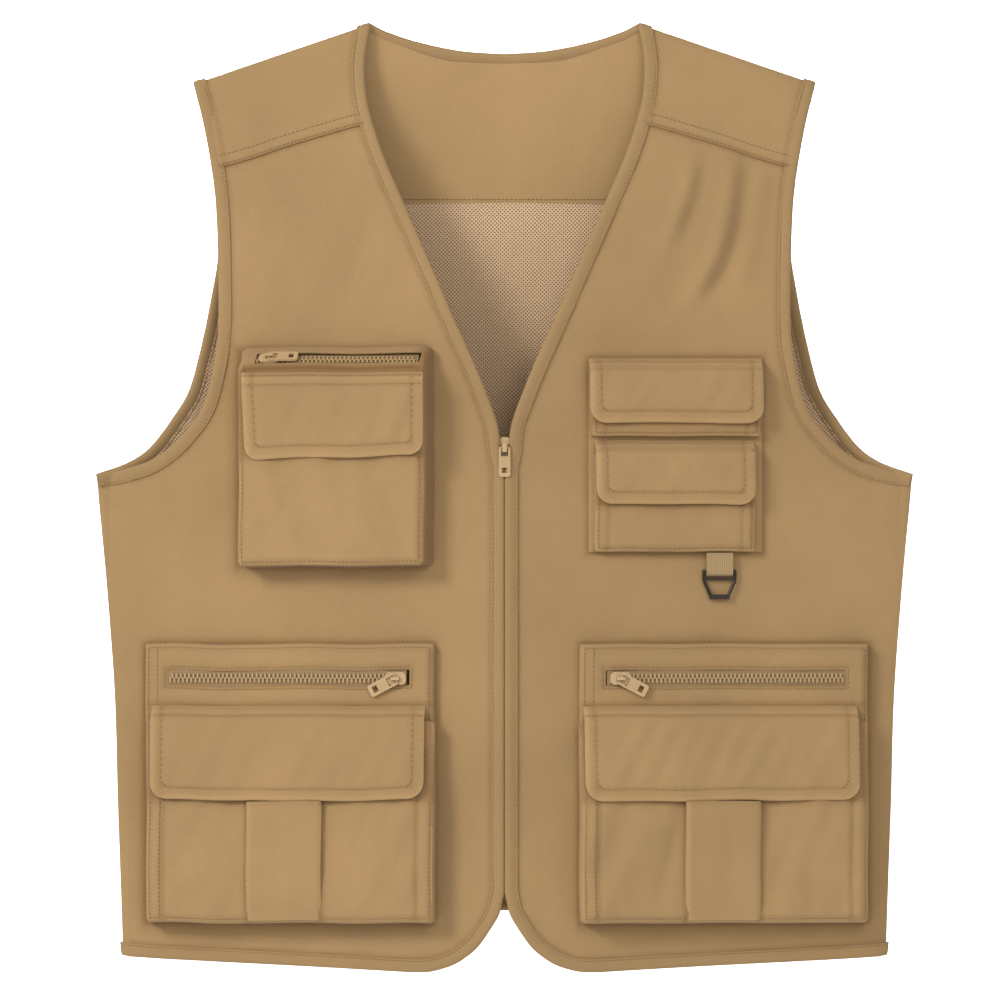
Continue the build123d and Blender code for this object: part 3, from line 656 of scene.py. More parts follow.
# The second colour is painted shade for the lining's holes: the shell behind it in shadow.
LINING = mesh_knit("mesh_lining", (0.66, 0.445, 0.26), (0.19, 0.115, 0.052, 1.0))
THREAD = canvas("thread", shade(KHAKI, 0.66), weave=0.0005, bump=0.2, fade=0.04)
TAPE_CLOTH = ribbed("zip_tape_weave", (0.30, 0.192, 0.084), 0.0011)
TEETH = hard("zip_teeth_plastic", (0.37, 0.24, 0.11), 0.45, edge_paleness=0.1)
ENAMEL = hard("slider_enamel", (0.42, 0.28, 0.135), 0.36, coat=0.2, edge_paleness=0.15)
HOOKS = ribbed("hook_and_loop", (0.27, 0.17, 0.075), 0.0014, bump=0.9, rough=0.95)
WEBBING = ribbed("webbing_weave", (0.37, 0.245, 0.112), 0.0013, bump=0.7)
GUNMETAL = hard("gunmetal", (0.045, 0.036, 0.030), 0.36, metallic=0.85, edge_paleness=0.5)


# ---- the body of the vest ------------------------------------------------------------------------------
def whole(surface):
    """A back surface for signed x."""
    return lambda side, x, z: surface(np.where(x < 0, -1.0, 1.0), np.abs(x), z)


def mirrored(line):
    """A line from the centre to one side, continued from the other side's end."""
    line = np.asarray(line, float)
    return np.vstack([line[:0:-1] * (-1, 1), line])


def bend_with_front(obj):
    """Bakes a piece's transform into its mesh."""
    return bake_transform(obj)


def roll_points(step=6.0):
    """Points close beside the shoulder line and the side edge, where the cloth rolls over."""
    rows = []
    along = np.arange(NECK_X + 4, TIP_X - 3, step)
    for depth in (0.7, 2.2, 4.5):
        rows.append(np.stack([along, -SHOULDER_SLOPE * (along - NECK_X) - depth], axis=1))
    down = np.arange(PIT_Z - 12, -645, -step)
    for depth in (0.8, 2.6, 5.5):
        rows.append(np.stack([side_x(down) - depth, down], axis=1))
    return np.vstack(rows)


def make_back():
    back = whole(back_y)
    shoulder = even([(NECK_X, 0), (TIP_X, TIP_Z)], 4)
    half = join(smooth(NECK_BACK, 4), shoulder, smooth(ARMHOLE_BACK, 4), smooth(SIDE_EDGE, 5),
                smooth(HEM_BACK, 5))
    loop = np.vstack([half[:-1], (half[::-1] * (-1, 1))[:-1]])
    rolls = roll_points()
    rolls = np.vstack([rolls, rolls * (-1, 1)])
    shell = cloth("back_shell", 1, loop, back, SHELL, step=5.0, outward=1, extra=rolls)
    attach(shell, "shell", "root", "back_panel")

    lining_top = [(x, FACING_EDGE_Z - 2.0 * (x / 200.0)) for x in (0.0, 110.0, 199.0)]
    arm = [(x - 2.5, z) for x, z in ARMHOLE_BACK if z < -131]
    half = join(even(lining_top, 4), smooth([(199.0, -129.0)] + arm[:-1], 4),
                even([arm[-2], (262, -330), (262, -640)], 5),
                smooth([(262, -640), (150, -629), (75, -620), (0, -618)], 5))
    loop = np.vstack([half[:-1], (half[::-1] * (-1, 1))[:-1]])
    lining = cloth("mesh_lining", 1, loop, whole(inside_y(1.7)), LINING, step=5.5, thickness=0.5)
    attach(lining, "lining", "root", "back_mesh_lining")

    half = join(smooth([(0, -27), (40, -25), (72, -15), (90, -7), (97, -4)], 4),
                even([(97, -4), (213, -44)], 4),
                smooth([(213, -44), (203, -90), (200, -128)], 4), even([(200, -128), (0, FACING_EDGE_Z)], 4))
    loop = np.vstack([half[:-1], (half[::-1] * (-1, 1))[:-1]])
    facing = cloth("yoke_facing", 1, loop, whole(inside_y(2.0)), FACING, step=4.5, thickness=0.9)
    attach(facing, "shell", "root", "back_yoke_facing")

    profile = binding_profile(BINDING, 2.6)
    for side, name in SIDES:
        path, normals = on_surface(side, smooth(ARMHOLE_BACK, 2.5), back_y, 0.0, outward=1)
        bound = sweep(f"armhole_binding_back_{name}_cloth", path, normals, profile, TRIM, flip=-side)
        attach(bound, "trim", "root", f"armhole_binding_back_{name}")
    path, normals = on_surface(1, mirrored(smooth(NECK_BACK, 2.5)), back, 0.0, outward=1)
    bound = sweep("neck_binding_cloth", path, normals, profile, TRIM, flip=-1)
    attach(bound, "trim", "root", "neck_binding")
    path, normals = on_surface(1, mirrored(smooth(HEM_BACK[::-1], 3)), back, 0.0, outward=1)
    bound = sweep("back_hem_band_cloth", path, normals, profile, TRIM, flip=1)
    attach(bound, "trim", "root", "back_hem_band")

    rows = []
    for side, _ in SIDES:
        for outward in (-1, 1):
            rows.append(on_surface(side, smooth(ARMHOLE_BACK, 2.5), back_y, 1.75, 7.0, outward))
    for outward in (-1, 1):
        rows.append(on_surface(1, mirrored(smooth(NECK_BACK, 2.5)), back, 1.75, 7.0, outward))
        rows.append(on_surface(1, mirrored(smooth(HEM_BACK[::-1], 3)), back, 1.75, -7.0, outward))
    edge = np.array([(-197.0, FACING_EDGE_Z + 2), (0, FACING_EDGE_Z + 2), (197, FACING_EDGE_Z + 2)])
    rows.append(on_surface(1, even(edge, 4), back, 2.75, 0.0, -1))
    sewn = stitches("back_stitching", rows, THREAD)
    attach(sewn, "trim", "root")


def outside(flat, x, z):
    """Distance from a rectangle, 0 inside it."""
    away = np.maximum(np.maximum(x[0] - flat[:, 0], flat[:, 0] - x[1]),
                      np.maximum(z[0] - flat[:, 1], flat[:, 1] - z[1]))
    return np.maximum(away, 0)


POCKET_FEET = {
    -1: (((57, 187), (-381, -229)), ((50, 252.4), (-631, -436))),
    1: (((59, 181), (-371, -235)), ((54, 256), (-631, -436))),
}


def front_painted_shade(side):
    """Painted shade: darker lines beside the bindings, under the yoke seam and where the pockets are sewn on.
    """
    edge = np.vstack([front_run(4.0), [(SEAM_X, -900), (-900, -900), (-900, 300), (NECK_X, 300)]])
    arm = smooth(ARMHOLE_FRONT, 4.0)

    def marks(flat):
        tone = line_mark(distance_to(flat, edge) - BINDING - 0.6, 0.30, 1.5)
        tone = tone + line_mark(distance_to_points(flat, even(arm, 1.5)) - BINDING - 0.6, 0.30, 1.5)
        tone = tone + line_mark(distance_to_points(flat, even(smooth(YOKE_SEAM, 4.0), 1.5)), 0.40, 2.0)
        for x, z in POCKET_FEET[side]:
            tone = tone + line_mark(outside(flat, x, z), 0.55, 2.6)
        return tone

    return marks


def front_run(step=4.0):
    """Free edge of a front from the neck point down the V, the zip edge, the rounded corner and the hem."""
    return join(
        smooth(V_EDGE, step), even([(LIP_X, LIP_TOP_Z), (LIP_X, APEX_Z)], step),
        smooth(HEM_CORNER, step), smooth(HEM_FRONT, step),
    )


def make_front(side, name):
    seam = smooth(YOKE_SEAM, 4)
    arm = smooth(ARMHOLE_FRONT, 4)
    neck = smooth(V_EDGE, 4)
    upper_neck, lower_neck = neck[neck[:, 1] > -71], neck[neck[:, 1] < -71]
    upper_arm, lower_arm = arm[arm[:, 1] > -102], arm[arm[:, 1] < -102]
    loop = np.vstack([
        seam, lower_arm, even([(SEAM_X, -312.6), (SEAM_X, -655)], 4)[1:-1], smooth(HEM_FRONT, 4)[::-1],
        smooth(HEM_CORNER, 4)[::-1][1:], even([(LIP_X, APEX_Z), (LIP_X, LIP_TOP_Z)], 4)[1:-1],
        lower_neck[::-1],
    ])
    panel = cloth(f"front_cloth_{name}", side, loop, front_y, SHELL, step=3.0, marks=front_painted_shade(side))
    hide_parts(f"front_panel_{name}")
    bend_with_front(panel)

    loop = np.vstack([even([(NECK_X, 0), (TIP_X, TIP_Z)], 4)[:-1], upper_arm, seam[::-1],
                      upper_neck[::-1][:-1]])
    rolls = roll_points()
    rolls = rolls[rolls[:, 1] > -60]
    lifted = lambda s, x, z: front_y(s, x, z) - 1.2 * ramp(-z, 45, 75)
    yoke = cloth(
        f"shoulder_yoke_{name}_cloth", side, loop, lifted, SHELL, step=3.0, thickness=1.3, extra=rolls,
        marks=front_painted_shade(side),
    )
    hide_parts(f"shoulder_yoke_{name}")
    bend_with_front(yoke)

    strip = np.vstack([
        even(PIT_EDGE, 4), smooth(SIDE_EDGE, 4)[1:], even(HEM_CORNER_SIDE[::-1], 2)[1:-1],
        even([(SEAM_X, -655), (SEAM_X, -312.6)], 4)[:-1],
    ])
    rolls = roll_points(5.0)
    rolls = rolls[(rolls[:, 1] < PIT_Z - 8) & (rolls[:, 0] > SEAM_X + 2)]
    wrap = cloth(f"side_strip_{name}", side, strip, front_y, SHELL, step=4.0, extra=rolls)
    attach(wrap, "shell", "root")

    profile = binding_profile(BINDING, 2.0)
    line = front_run(2.5)
    path, normals = on_surface(side, line, front_y, 0.0)
    bound = sweep(f"front_edge_band_{name}_cloth", path, normals, profile, TRIM, flip=-side)
    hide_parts(f"front_edge_band_{name}")
    bend_with_front(bound)
    arm_line = smooth(ARMHOLE_FRONT, 2.5)
    path, normals = on_surface(side, arm_line, front_y, 0.0)
    bound = sweep(f"armhole_binding_front_{name}_cloth", path, normals, profile, TRIM, flip=side)
    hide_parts(f"armhole_binding_front_{name}")
    bend_with_front(bound)
    for what, edge, turn in (("pit", PIT_EDGE, 1), ("hem_corner", HEM_CORNER_SIDE, -1)):
        path, normals = on_surface(side, smooth(edge, 1.5), front_y, 0.0)
        bound = sweep(f"{what}_binding_{name}", path, normals, profile, TRIM, flip=turn * side)
        attach(bound, "trim", "root")

    seam_row = smooth(YOKE_SEAM, 2.5)
    rows = [
        on_surface(side, line, front_y, 1.4, -7.0),
        on_surface(side, arm_line, front_y, 1.4, 7.0),
        on_surface(side, seam_row + (0, 1.6), lifted, 0.75),
        on_surface(side, seam_row[2:-2] + (0, 8.2), lifted, 0.75),
    ]
    sewn = stitches(f"front_stitching_{name}", rows, THREAD)
    bend_with_front(sewn)
    sewn = stitches(f"pit_stitching_{name}", [on_surface(side, smooth(PIT_EDGE, 2.5), front_y, 1.4, 7.0)],
                    THREAD)
    attach(sewn, "trim", "root")


def make_main_tape(side, name):
    """Half of the main zip's tape: a woven strip beside the teeth."""
    co = np.array([v.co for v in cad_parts[f"main_zip_tape_{name}"].data.vertices], float) / MM
    low, high = co.min(0), co.max(0)
    inner, outer = sorted((abs(low[0]), abs(high[0])))
    middle = (low[1] + high[1]) / 2
    across = (inner + 0.3, inner + 1.8, inner + 4.0, outer)
    heights = np.arange(low[2], high[2], 3.0)
    points = [(side * x, middle, z) for z in heights for x in across]
    faces = grid_faces(len(heights), len(across))
    tape = thicken(new_mesh(f"main_zip_tape_{name}_cloth", points, faces, TAPE_CLOTH), TAPE_THICK)
    attach(tape, "zip_tape", f"front_{name}", f"main_zip_tape_{name}")


make_back()
for side, name in SIDES:
    make_front(side, name)
    make_main_tape(side, name)


# ---- pockets, in (u, n, z) of their front --------------------------------------------------------------
POCKET_SEED = 83


def rounded(u, z, radii=(3.0, 1.0), step=3.2, like=None):
    """Rectangle with rounded lower and upper corners, from its top left and down.
    like is the size of one to match in its number of points."""
    size = like or (u[1] - u[0], z[1] - z[0])
    across, down = max(int(size[0] / step), 2), max(int(size[1] / step), 2)
    low, top = radii
    corners = [(u[0] + top, z[1] - top, top, 90, down), (u[0] + low, z[0] + low, low, 180, across),
               (u[1] - low, z[0] + low, low, 270, down), (u[1] - top, z[1] - top, top, 0, across)]
    arcs = []
    for cu, cz, radius, start, _ in corners:
        angle = np.radians(np.linspace(start, start + 90, 6))
        arcs.append(np.stack([cu + radius * np.cos(angle), cz + radius * np.sin(angle)], axis=1))
    out = []
    for k, arc in enumerate(arcs):
        run = np.linspace(arc[-1], arcs[(k + 1) % 4][0], corners[k][4] + 1)[1:-1]
        out += [arc, run]
    return np.vstack(out)


def to_sides(at_u, u):
    """Distance in from the nearer of two sides."""
    return np.minimum(at_u - u[0], u[1] - at_u)


def roll_in(distance, radius):
    """0 at an edge and 1 a radius inside it, along a quarter circle."""
    near = np.clip(distance / radius, 0, 1)
    return np.sqrt(1 - (1 - near) ** 2)


def groove(distance, depth=0.6, width=1.0):
    return -depth * np.exp(-((distance / width) ** 2))


def wrinkled(u, z, seed, height=0.5):
    flat = np.stack([u, z, 0 * u], axis=1)
    return height * (1.9 * noise_at(flat, 34.0, seed) + 0.95 * noise_at(flat, 12.0, seed + 1))


def wobble(points, seed, height=0.9):
    """Uneven edges: shifts (u, n, z) points a little within the panel's plane."""
    out = np.array(points, float)
    out[:, 0] += height * noise_at(np.stack([0 * out[:, 2], 0 * out[:, 0], out[:, 2]], axis=1), 38.0, seed)
    out[:, 2] += height * noise_at(np.stack([out[:, 0], 0 * out[:, 0], 0 * out[:, 2]], axis=1), 38.0,
                                   seed + 1)
    return out


def pouch(name, side, loops, depth, cloth_material, holes=(), skip=None, step=2.6, thickness=0.9,
          marks=None, wall_shade=0.45):
    """Sewn pocket: nested loops of (u, z) at depths n are its gusset, and a face fills the last of them."""
    outline = loops[-1][0]
    flat, faces = fill(outline, step, holes)
    count = len(outline)
    points = [np.stack([flat[:, 0], depth(flat[:, 0], flat[:, 1]), flat[:, 1]], axis=1)]
    polygons = [tuple(f) for f in faces]
    tones = [np.zeros(len(flat)) if marks is None else marks(flat[:, 0], flat[:, 1])]
    tones[0][:count] = np.maximum(tones[0][:count], -0.10)
    previous, start = 0, len(flat)
    for level, (line, n) in enumerate(reversed(loops[:-1])):
        # Painted shade on the gusset walls, strongest on the right and bottom walls that face away from the
        # light.
        across = (line[:, 0] - line[:, 0].min()) / np.ptp(line[:, 0])
        down = (line[:, 1].max() - line[:, 1]) / np.ptp(line[:, 1])
        shaded = np.maximum(ramp(across, 0.9, 1.0), ramp(down, 0.9, 1.0))
        tones.append(wall_shade * (0.15 + 0.85 * shaded) * (1.0 if level else 0.6))
        points.append(np.stack([line[:, 0], np.full(count, n), line[:, 1]], axis=1))
        for i in range(count):
            j = (i + 1) % count
            if skip is None or not skip(level, line[i], line[j]):
                polygons.append((start + i, start + j, previous + j, previous + i))
        previous = start
        start += count
    points = wobble(np.vstack(points), POCKET_SEED)
    made = new_mesh(name, place(side, points), polygons, cloth_material, tone=np.concatenate(tones))
    return thicken(made, thickness)


def sewn_rows(name, side, rows, depth, body):
    """Stitching on a pocket: rows of (u, z) lines, raised to the cloth's surface."""
    normal = place(side, [(0, 1, 0)])[0] - place(side, [(0, 0, 0)])[0]
    runs = []
    for row in rows:
        line = even(row, 1.6)
        points = np.stack([line[:, 0], depth(line[:, 0], line[:, 1]) + 0.62, line[:, 1]], axis=1)
        runs.append((place(side, wobble(points, POCKET_SEED)), np.tile(normal, (len(line), 1))))
    attach(stitches(name, runs, THREAD), "trim", body)


FLAP_STITCH = 7.5
FLAP_TOP_ROWS = (2.0, 8.0)


def make_flap(name, side, u, line, radius, seed, skew=(0.0, 0.0), puff=1.0):
    """Pocket flap with rounded lower corners, a turned edge stitched down, and two rows where it is sewn on.
    skew is how far its lower left corner hangs inward and down, puff scales how far it bulges."""
    line = np.array(line, float)
    lengths = np.r_[0, np.cumsum(np.linalg.norm(np.diff(line, axis=0), axis=1))]
    soft = smooth([(0.0, line[0][0]), (lengths[1] * 0.75, line[1][0] - 0.4),
                   (lengths[1] + 4, line[1][0] + 0.6),
                   (lengths[-1], line[-1][0])], 1.0)
    total = lengths[-1]
    outline = rounded(u, (-total, 0.0), (radius, 0.6))
    flat, faces = fill(outline, 2.6)

    def lift(at_u, down):
        """Outward shift of the cloth at a distance down the flap."""
        sides = to_sides(at_u, u)
        edge = np.minimum(sides, total - down)
        belly = 1.3 * puff * np.sin(np.pi * np.clip(down / total, 0, 1)) * roll_in(edge, 26.0)
        drags = np.stack([at_u + 0.5 * down, 0.22 * down, 0 * at_u], axis=1)
        within = ramp(down, 8, 20) * roll_in(edge - 6, 14.0)
        belly = belly + 1.6 * puff * noise_at(drags, 13.0, seed + 4) * within
        curl = -1.0 * (1 - roll_in(edge, 2.2)) + 0.35 * np.cos(at_u / 17.0 + seed) * ramp(down, 14, total)
        seams = groove(edge - FLAP_STITCH) + sum(groove(down - row, 0.5) for row in FLAP_TOP_ROWS)
        pucker = 0.16 * np.sin(at_u * 0.9 + seed) * np.exp(-(((edge - 5.0) / 3.5) ** 2))
        return belly + curl + seams + pucker + wrinkled(at_u, down, seed, 0.45)

    def surface(at_u, down):
        n = np.interp(down, soft[:, 0], soft[:, 1]) + lift(at_u, down)
        corner = np.clip((u[1] - at_u) / (u[1] - u[0]), 0, 1) * np.clip(down / total, 0, 1)
        at_u = at_u + skew[0] * corner
        waves = noise_at(np.stack([at_u, 0 * at_u, 0 * at_u], axis=1), 44.0, seed + 9)
        hem = -skew[1] * corner + 1.5 * waves * ramp(down, 8, total)
        return wobble(np.stack([at_u, n, np.interp(down, lengths, line[:, 1]) + hem], axis=1),
                      POCKET_SEED, 0.5)

    points = surface(flat[:, 0], -flat[:, 1])
    # Painted shade along the stitched grooves and the two top rows, and painted highlight, partly edge wear,
    # on the turned edge and the ridge between the top rows.
    edge = np.minimum(to_sides(flat[:, 0], u), total + flat[:, 1])
    tone = line_mark(edge - FLAP_STITCH, 0.30, 1.2) - line_mark(edge - 1.2, 0.30, 1.5)
    for row in FLAP_TOP_ROWS:
        tone = tone + line_mark(-flat[:, 1] - row, 0.28, 1.2)
    tone = tone - line_mark(-flat[:, 1] - 0.5 * sum(FLAP_TOP_ROWS), 0.12, 2.0)
    flap = thicken(new_mesh(f"{name}_flap_cloth", place(side, points), faces, SHELL, tone=tone), 1.7)
    attach(flap, "shell", f"{name}_flap", f"{name}_flap")

    inset = rounded((u[0] + FLAP_STITCH, u[1] - FLAP_STITCH), (-total + FLAP_STITCH, 0.0),
                    (radius - 3, 0.6), 1.6)
    inset = inset[inset[:, 1] < -FLAP_TOP_ROWS[1]]
    cut = int(np.argmax(np.linalg.norm(np.diff(inset, axis=0, append=inset[:1]), axis=1)))
    rows = [np.roll(inset, -cut - 1, axis=0)]
    rows += [np.array([(u[0] + 1.5, -row), (u[1] - 1.5, -row)]) for row in FLAP_TOP_ROWS]
    normal = place(side, [(0, 1, 0)])[0] - place(side, [(0, 0, 0)])[0]
    runs = []
    for row in rows:
        row = even(row, 1.5)
        points = surface(row[:, 0], -row[:, 1]) + (0, 1.0, 0)
        runs.append((place(side, points), np.tile(normal, (len(row), 1))))
    sewn = stitches(f"{name}_flap_stitching", runs, THREAD)
    attach(sewn, "trim", f"{name}_flap")

    def underside(at_u, z):
        down = np.interp(-z, -line[:, 1], lengths)
        return surface(at_u, down)[:, 1] - 1.9

    hooks = f"{name}_hook_tape"
    fuzzy_tape(f"{hooks}_cloth", side, f"{name}_flap", hooks, hooks, seed + 1, underside)


HOOK_THICK = 0.8
LOOP_LIFT = 0.85


def fuzzy_tape(name, side, body, like, node, seed, level):
    """Hook or loop tape with a rough face, as wide and high as the CAD node like, laid at a depth level(u, z).
    It stands for node."""
    low, high = local_box(side, like)
    outline = rounded((low[0], high[0]), (low[2], high[2]), (1.0, 1.0), 2.0)
    flat, faces = fill(outline, 1.6)
    n = level(flat[:, 0], flat[:, 1])
    n = n + 0.20 * noise_at(np.stack([flat[:, 0], flat[:, 1], 0 * flat[:, 0]], axis=1), 1.9, seed)
    points = np.stack([flat[:, 0], n, flat[:, 1]], axis=1)
    tape = thicken(new_mesh(name, place(side, points), faces, HOOKS), HOOK_THICK)
    attach(tape, "hook_loop", body, node)


# ---- the two cargo pockets -----------------------------------------------------------------------------
CARGO_TOP, CARGO_BOTTOM, CARGO_ZIP_Z, SLOT_HALF = -436.0, -631.0, -459.6, 5.5
BACKING_N, BAG_N, PLEAT_HALF = 9.5, 21.5, 26.0
BAG_LINE = [(-490.0, 15.8), (-545.0, 20.3), (-560.0, BAG_N), (-631.0, BAG_N)]


def along(side, x, n):
    """u of a point at x in the vest's frame and n outward of its front."""
    return (x - side * SEAM_X - side * n * math.sin(TILT)) / math.cos(TILT)


TOOTH = [(3.35, -0.9), (3.35, 0.75), (3.0, 1.05), (0.2, 1.05), (-0.45, 0.7), (-0.45, -0.7), (0.2, -1.05),
         (3.0, -1.05)]
TOOTH_HALF = 0.62
TOOTH_PITCH = 3.0


def make_zip(name, side, body, slope=0.0, reach=(-10.5, 10.5)):
    """Woven tapes and two rows of interlocked teeth along u; slope tips them back from the panel's plane."""
    low, high = local_box(side, f"{name}_zip_teeth")
    middle = (low + high) / 2
    across = np.array([0, -math.sin(slope), math.cos(slope)])
    outward = np.array([0, math.cos(slope), math.sin(slope)])
    points, faces = [], []
    count = int((high[0] - low[0]) / TOOTH_PITCH * 2)
    for i in range(count):
        hand = 1 if i % 2 else -1
        u = low[0] + 0.8 + i * TOOTH_PITCH / 2
        base = len(points)
        for end in (-TOOTH_HALF, TOOTH_HALF):
            for a, b in TOOTH:
                points.append(np.array([u + end, middle[1], middle[2]]) + across * a * hand + outward * b)
        ring = len(TOOTH)
        quads = [(base + k, base + (k + 1) % ring, base + ring + (k + 1) % ring, base + ring + k)
                 for k in range(ring)]
        caps = [tuple(base + k for k in range(ring))[::-1], tuple(base + ring + k for k in range(ring))]
        faces += quads + caps if hand > 0 else [f[::-1] for f in quads + caps]
    teeth = new_mesh(f"{name}_teeth_row", place(side, points), faces, TEETH, flat_shade=True)
    attach(teeth, "zip_teeth", body, f"{name}_zip_teeth")
    levels = [(reach[0], -1.1), (-4.0, -0.8), (-2.9, -0.6), (0.0, -0.7), (2.9, -0.6), (4.0, -0.8),
              (reach[1], -1.1)]
    us = np.arange(low[0] - 1.5, high[0] + 3.0, 2.0)
    points = [np.array([u, middle[1], middle[2]]) + across * a + outward * b for a, b in levels for u in us]
    faces = grid_faces(len(levels), len(us))
    tape = thicken(new_mesh(f"{name}_tape_weave", place(side, points), faces, TAPE_CLOTH), 0.5)
    attach(tape, "zip_tape", body, f"{name}_zip_tape")


def make_cargo(side, name, x, slot_x, flap_x, pleat_x, seed):
    body = f"front_{'right' if side < 0 else 'left'}"
    u = (along(side, x[0], BACKING_N), along(side, x[1], BACKING_N))
    slot = (along(side, slot_x[0], BACKING_N), along(side, slot_x[1], BACKING_N))
    slot_z = (CARGO_ZIP_Z - SLOT_HALF, CARGO_ZIP_Z + SLOT_HALF)
    size = (u[1] - u[0], CARGO_TOP - CARGO_BOTTOM)
    whole_z = (CARGO_BOTTOM, CARGO_TOP)
    face_loop = rounded((u[0] + 0.6, u[1] - 0.6), (CARGO_BOTTOM + 0.6, CARGO_TOP - 0.6), like=size)

    def backing_depth(at_u, z):
        edge = np.minimum(to_sides(at_u, u), np.minimum(CARGO_TOP - z, z - CARGO_BOTTOM))
        dip = np.maximum(np.abs(z - CARGO_ZIP_Z) - SLOT_HALF, np.maximum(slot[0] - at_u, at_u - slot[1]))
        n = BACKING_N - 0.5 - 3.2 * (1 - roll_in(edge, 5.0))
        n = n - 1.3 * np.exp(-((np.maximum(dip, 0) / 3.4) ** 2))
        n = n + groove(edge - 2.5, 0.3) + groove(edge - 9.0, 0.35) + groove(dip - 2.2, 0.3)
        return n + wrinkled(at_u, z, seed, 0.45) * roll_in(edge, 12.0)

    # Painted shade in the stitch groove, round the zip slot and along the flap's sewn top, and painted
    # highlight, partly edge wear, on the rolled edge.
    def backing_painted_light_and_wear(at_u, z):
        edge = np.minimum(to_sides(at_u, u), np.minimum(CARGO_TOP - z, z - CARGO_BOTTOM))
        dip = np.maximum(np.abs(z - CARGO_ZIP_Z) - SLOT_HALF, np.maximum(slot[0] - at_u, at_u - slot[1]))
        shade_at_flap_top = line_mark(z + 478.0, 0.35, 2.2)
        tone = line_mark(edge - 3.0, 0.28, 1.3) - line_mark(edge, 0.25, 1.8)
        return tone + line_mark(dip, 0.30, 2.4) + shade_at_flap_top

    hole = rounded(slot, slot_z, (1.0, 1.0), 2.0)[::-1]
    loops = [(rounded(u, whole_z, like=size), 0.9), (rounded(u, whole_z, like=size), 3.4), (face_loop, None)]
    backing = pouch(f"{name}_backing_cloth", side, loops, backing_depth, SHELL, holes=[hole],
                    marks=backing_painted_light_and_wear)
    attach(backing, "shell", body, f"{name}_backing")

    bag_u = (along(side, x[0], BAG_N), along(side, x[1], BAG_N))
    inner = (bag_u[0] + 1.2, bag_u[1] - 1.2)
    bag_z = (CARGO_BOTTOM, BAG_LINE[0][0])
    bag_size = (bag_u[1] - bag_u[0], bag_z[1] - bag_z[0])
    line = np.array(BAG_LINE)[::-1]
    pleat = along(side, pleat_x, BAG_N)

    def bag_depth(at_u, z):
        sides = to_sides(at_u, bag_u)
        edge = np.minimum(sides, z - CARGO_BOTTOM)
        n = np.interp(z, line[:, 0], line[:, 1]) - 0.6 - 4.0 * (1 - roll_in(edge, 7.0))
        n = n + groove(edge - 3.0, 0.3) + groove(sides - 12.0, 1.1, 1.5)
        off = np.abs(at_u - pleat)
        hollow = 2.4 * ramp(off, 18, 28) * np.exp(-(((off - 32) / 13.0) ** 2))
        n = n - hollow * ramp(z, CARGO_BOTTOM, CARGO_BOTTOM + 62)
        streaks = np.stack([at_u - 0.35 * (z - CARGO_BOTTOM), 0.3 * z, 0 * z], axis=1)
        within = roll_in(edge - 3, 20.0) * ramp(off - PLEAT_HALF, 2, 14)
        n = n + 2.6 * noise_at(streaks, 17.0, seed + 8) * within
        return n + wrinkled(at_u, z, seed + 3, 0.6) * roll_in(edge, 16.0)

    loops = [
        (rounded(bag_u, bag_z, like=bag_size), BACKING_N - 0.5),
        (rounded((bag_u[0] + 2.6, bag_u[1] - 2.6), (bag_z[0] + 1.6, bag_z[1]), like=bag_size), 11.8),
        (rounded((bag_u[0] + 0.2, bag_u[1] - 0.2), (bag_z[0], bag_z[1]), like=bag_size), 14.2),
        (rounded(inner, (bag_z[0] + 0.8, bag_z[1]), like=bag_size), None),
    ]
    mouth = bag_z[1] - 1.1

    # Painted shade beside the pleat's folded edges, in the stitch groove, in the side fold grooves and under
    # the flap at the top, and painted highlight, partly edge wear, on the rolled edge.
    def bag_painted_light_and_wear(at_u, z):
        edge = np.minimum(to_sides(at_u, bag_u), z - CARGO_BOTTOM)
        beside = np.abs(np.abs(at_u - pleat) - PLEAT_HALF)
        tone = line_mark(beside, 0.50, 2.6) + line_mark(edge - 3.4, 0.25, 1.2) - line_mark(edge, 0.22, 1.8)
        folds = np.minimum(np.abs(at_u - bag_u[0] - 12.6), np.abs(bag_u[1] - 12.6 - at_u))
        return tone + line_mark(folds, 0.34, 1.3) + 0.35 * ramp(z, -551.0, -543.0)

    bag = pouch(f"{name}_bag_cloth", side, loops, bag_depth, SHELL, marks=bag_painted_light_and_wear,
                skip=lambda _, a, b: min(a[1], b[1]) > mouth)
    attach(bag, "shell", body, f"{name}_bag")

    pleat_u = (pleat - PLEAT_HALF, pleat + PLEAT_HALF)
    pleat_z = (-629.0, -546.0)
    pleat_size = (2 * PLEAT_HALF, pleat_z[1] - pleat_z[0])

    def pleat_depth(at_u, z):
        edge = to_sides(at_u, pleat_u)
        n = BAG_N + 2.2 - 1.6 * (1 - roll_in(edge, 2.4)) - 2.4 * (1 - ramp(z, pleat_z[0], pleat_z[0] + 16))
        streaks = np.stack([at_u, 0.2 * z, 0 * z], axis=1)
        return n + wrinkled(at_u, z, seed + 5, 0.35) + 0.6 * noise_at(streaks, 15.0, seed + 6)

    # Painted shade under the flap at the top, and painted highlight, partly edge wear, along the folded sides.
    def pleat_painted_light_and_wear(at_u, z):
        edge = to_sides(at_u, pleat_u)
        return 0.30 * ramp(z, -551.0, -544.0) - line_mark(edge - 1.0, 0.20, 1.4)

    loops = [
        (rounded(pleat_u, pleat_z, (0.8, 0.8), like=pleat_size), BAG_N - 1.6),
        (rounded((pleat_u[0] - 0.3, pleat_u[1] + 0.3), pleat_z, (0.8, 0.8), like=pleat_size), None),
    ]
    box = pouch(f"{name}_box_pleat", side, loops, pleat_depth, SHELL, thickness=0.8, marks=pleat_painted_light_and_wear,
                wall_shade=0.8)
    attach(box, "shell", body)

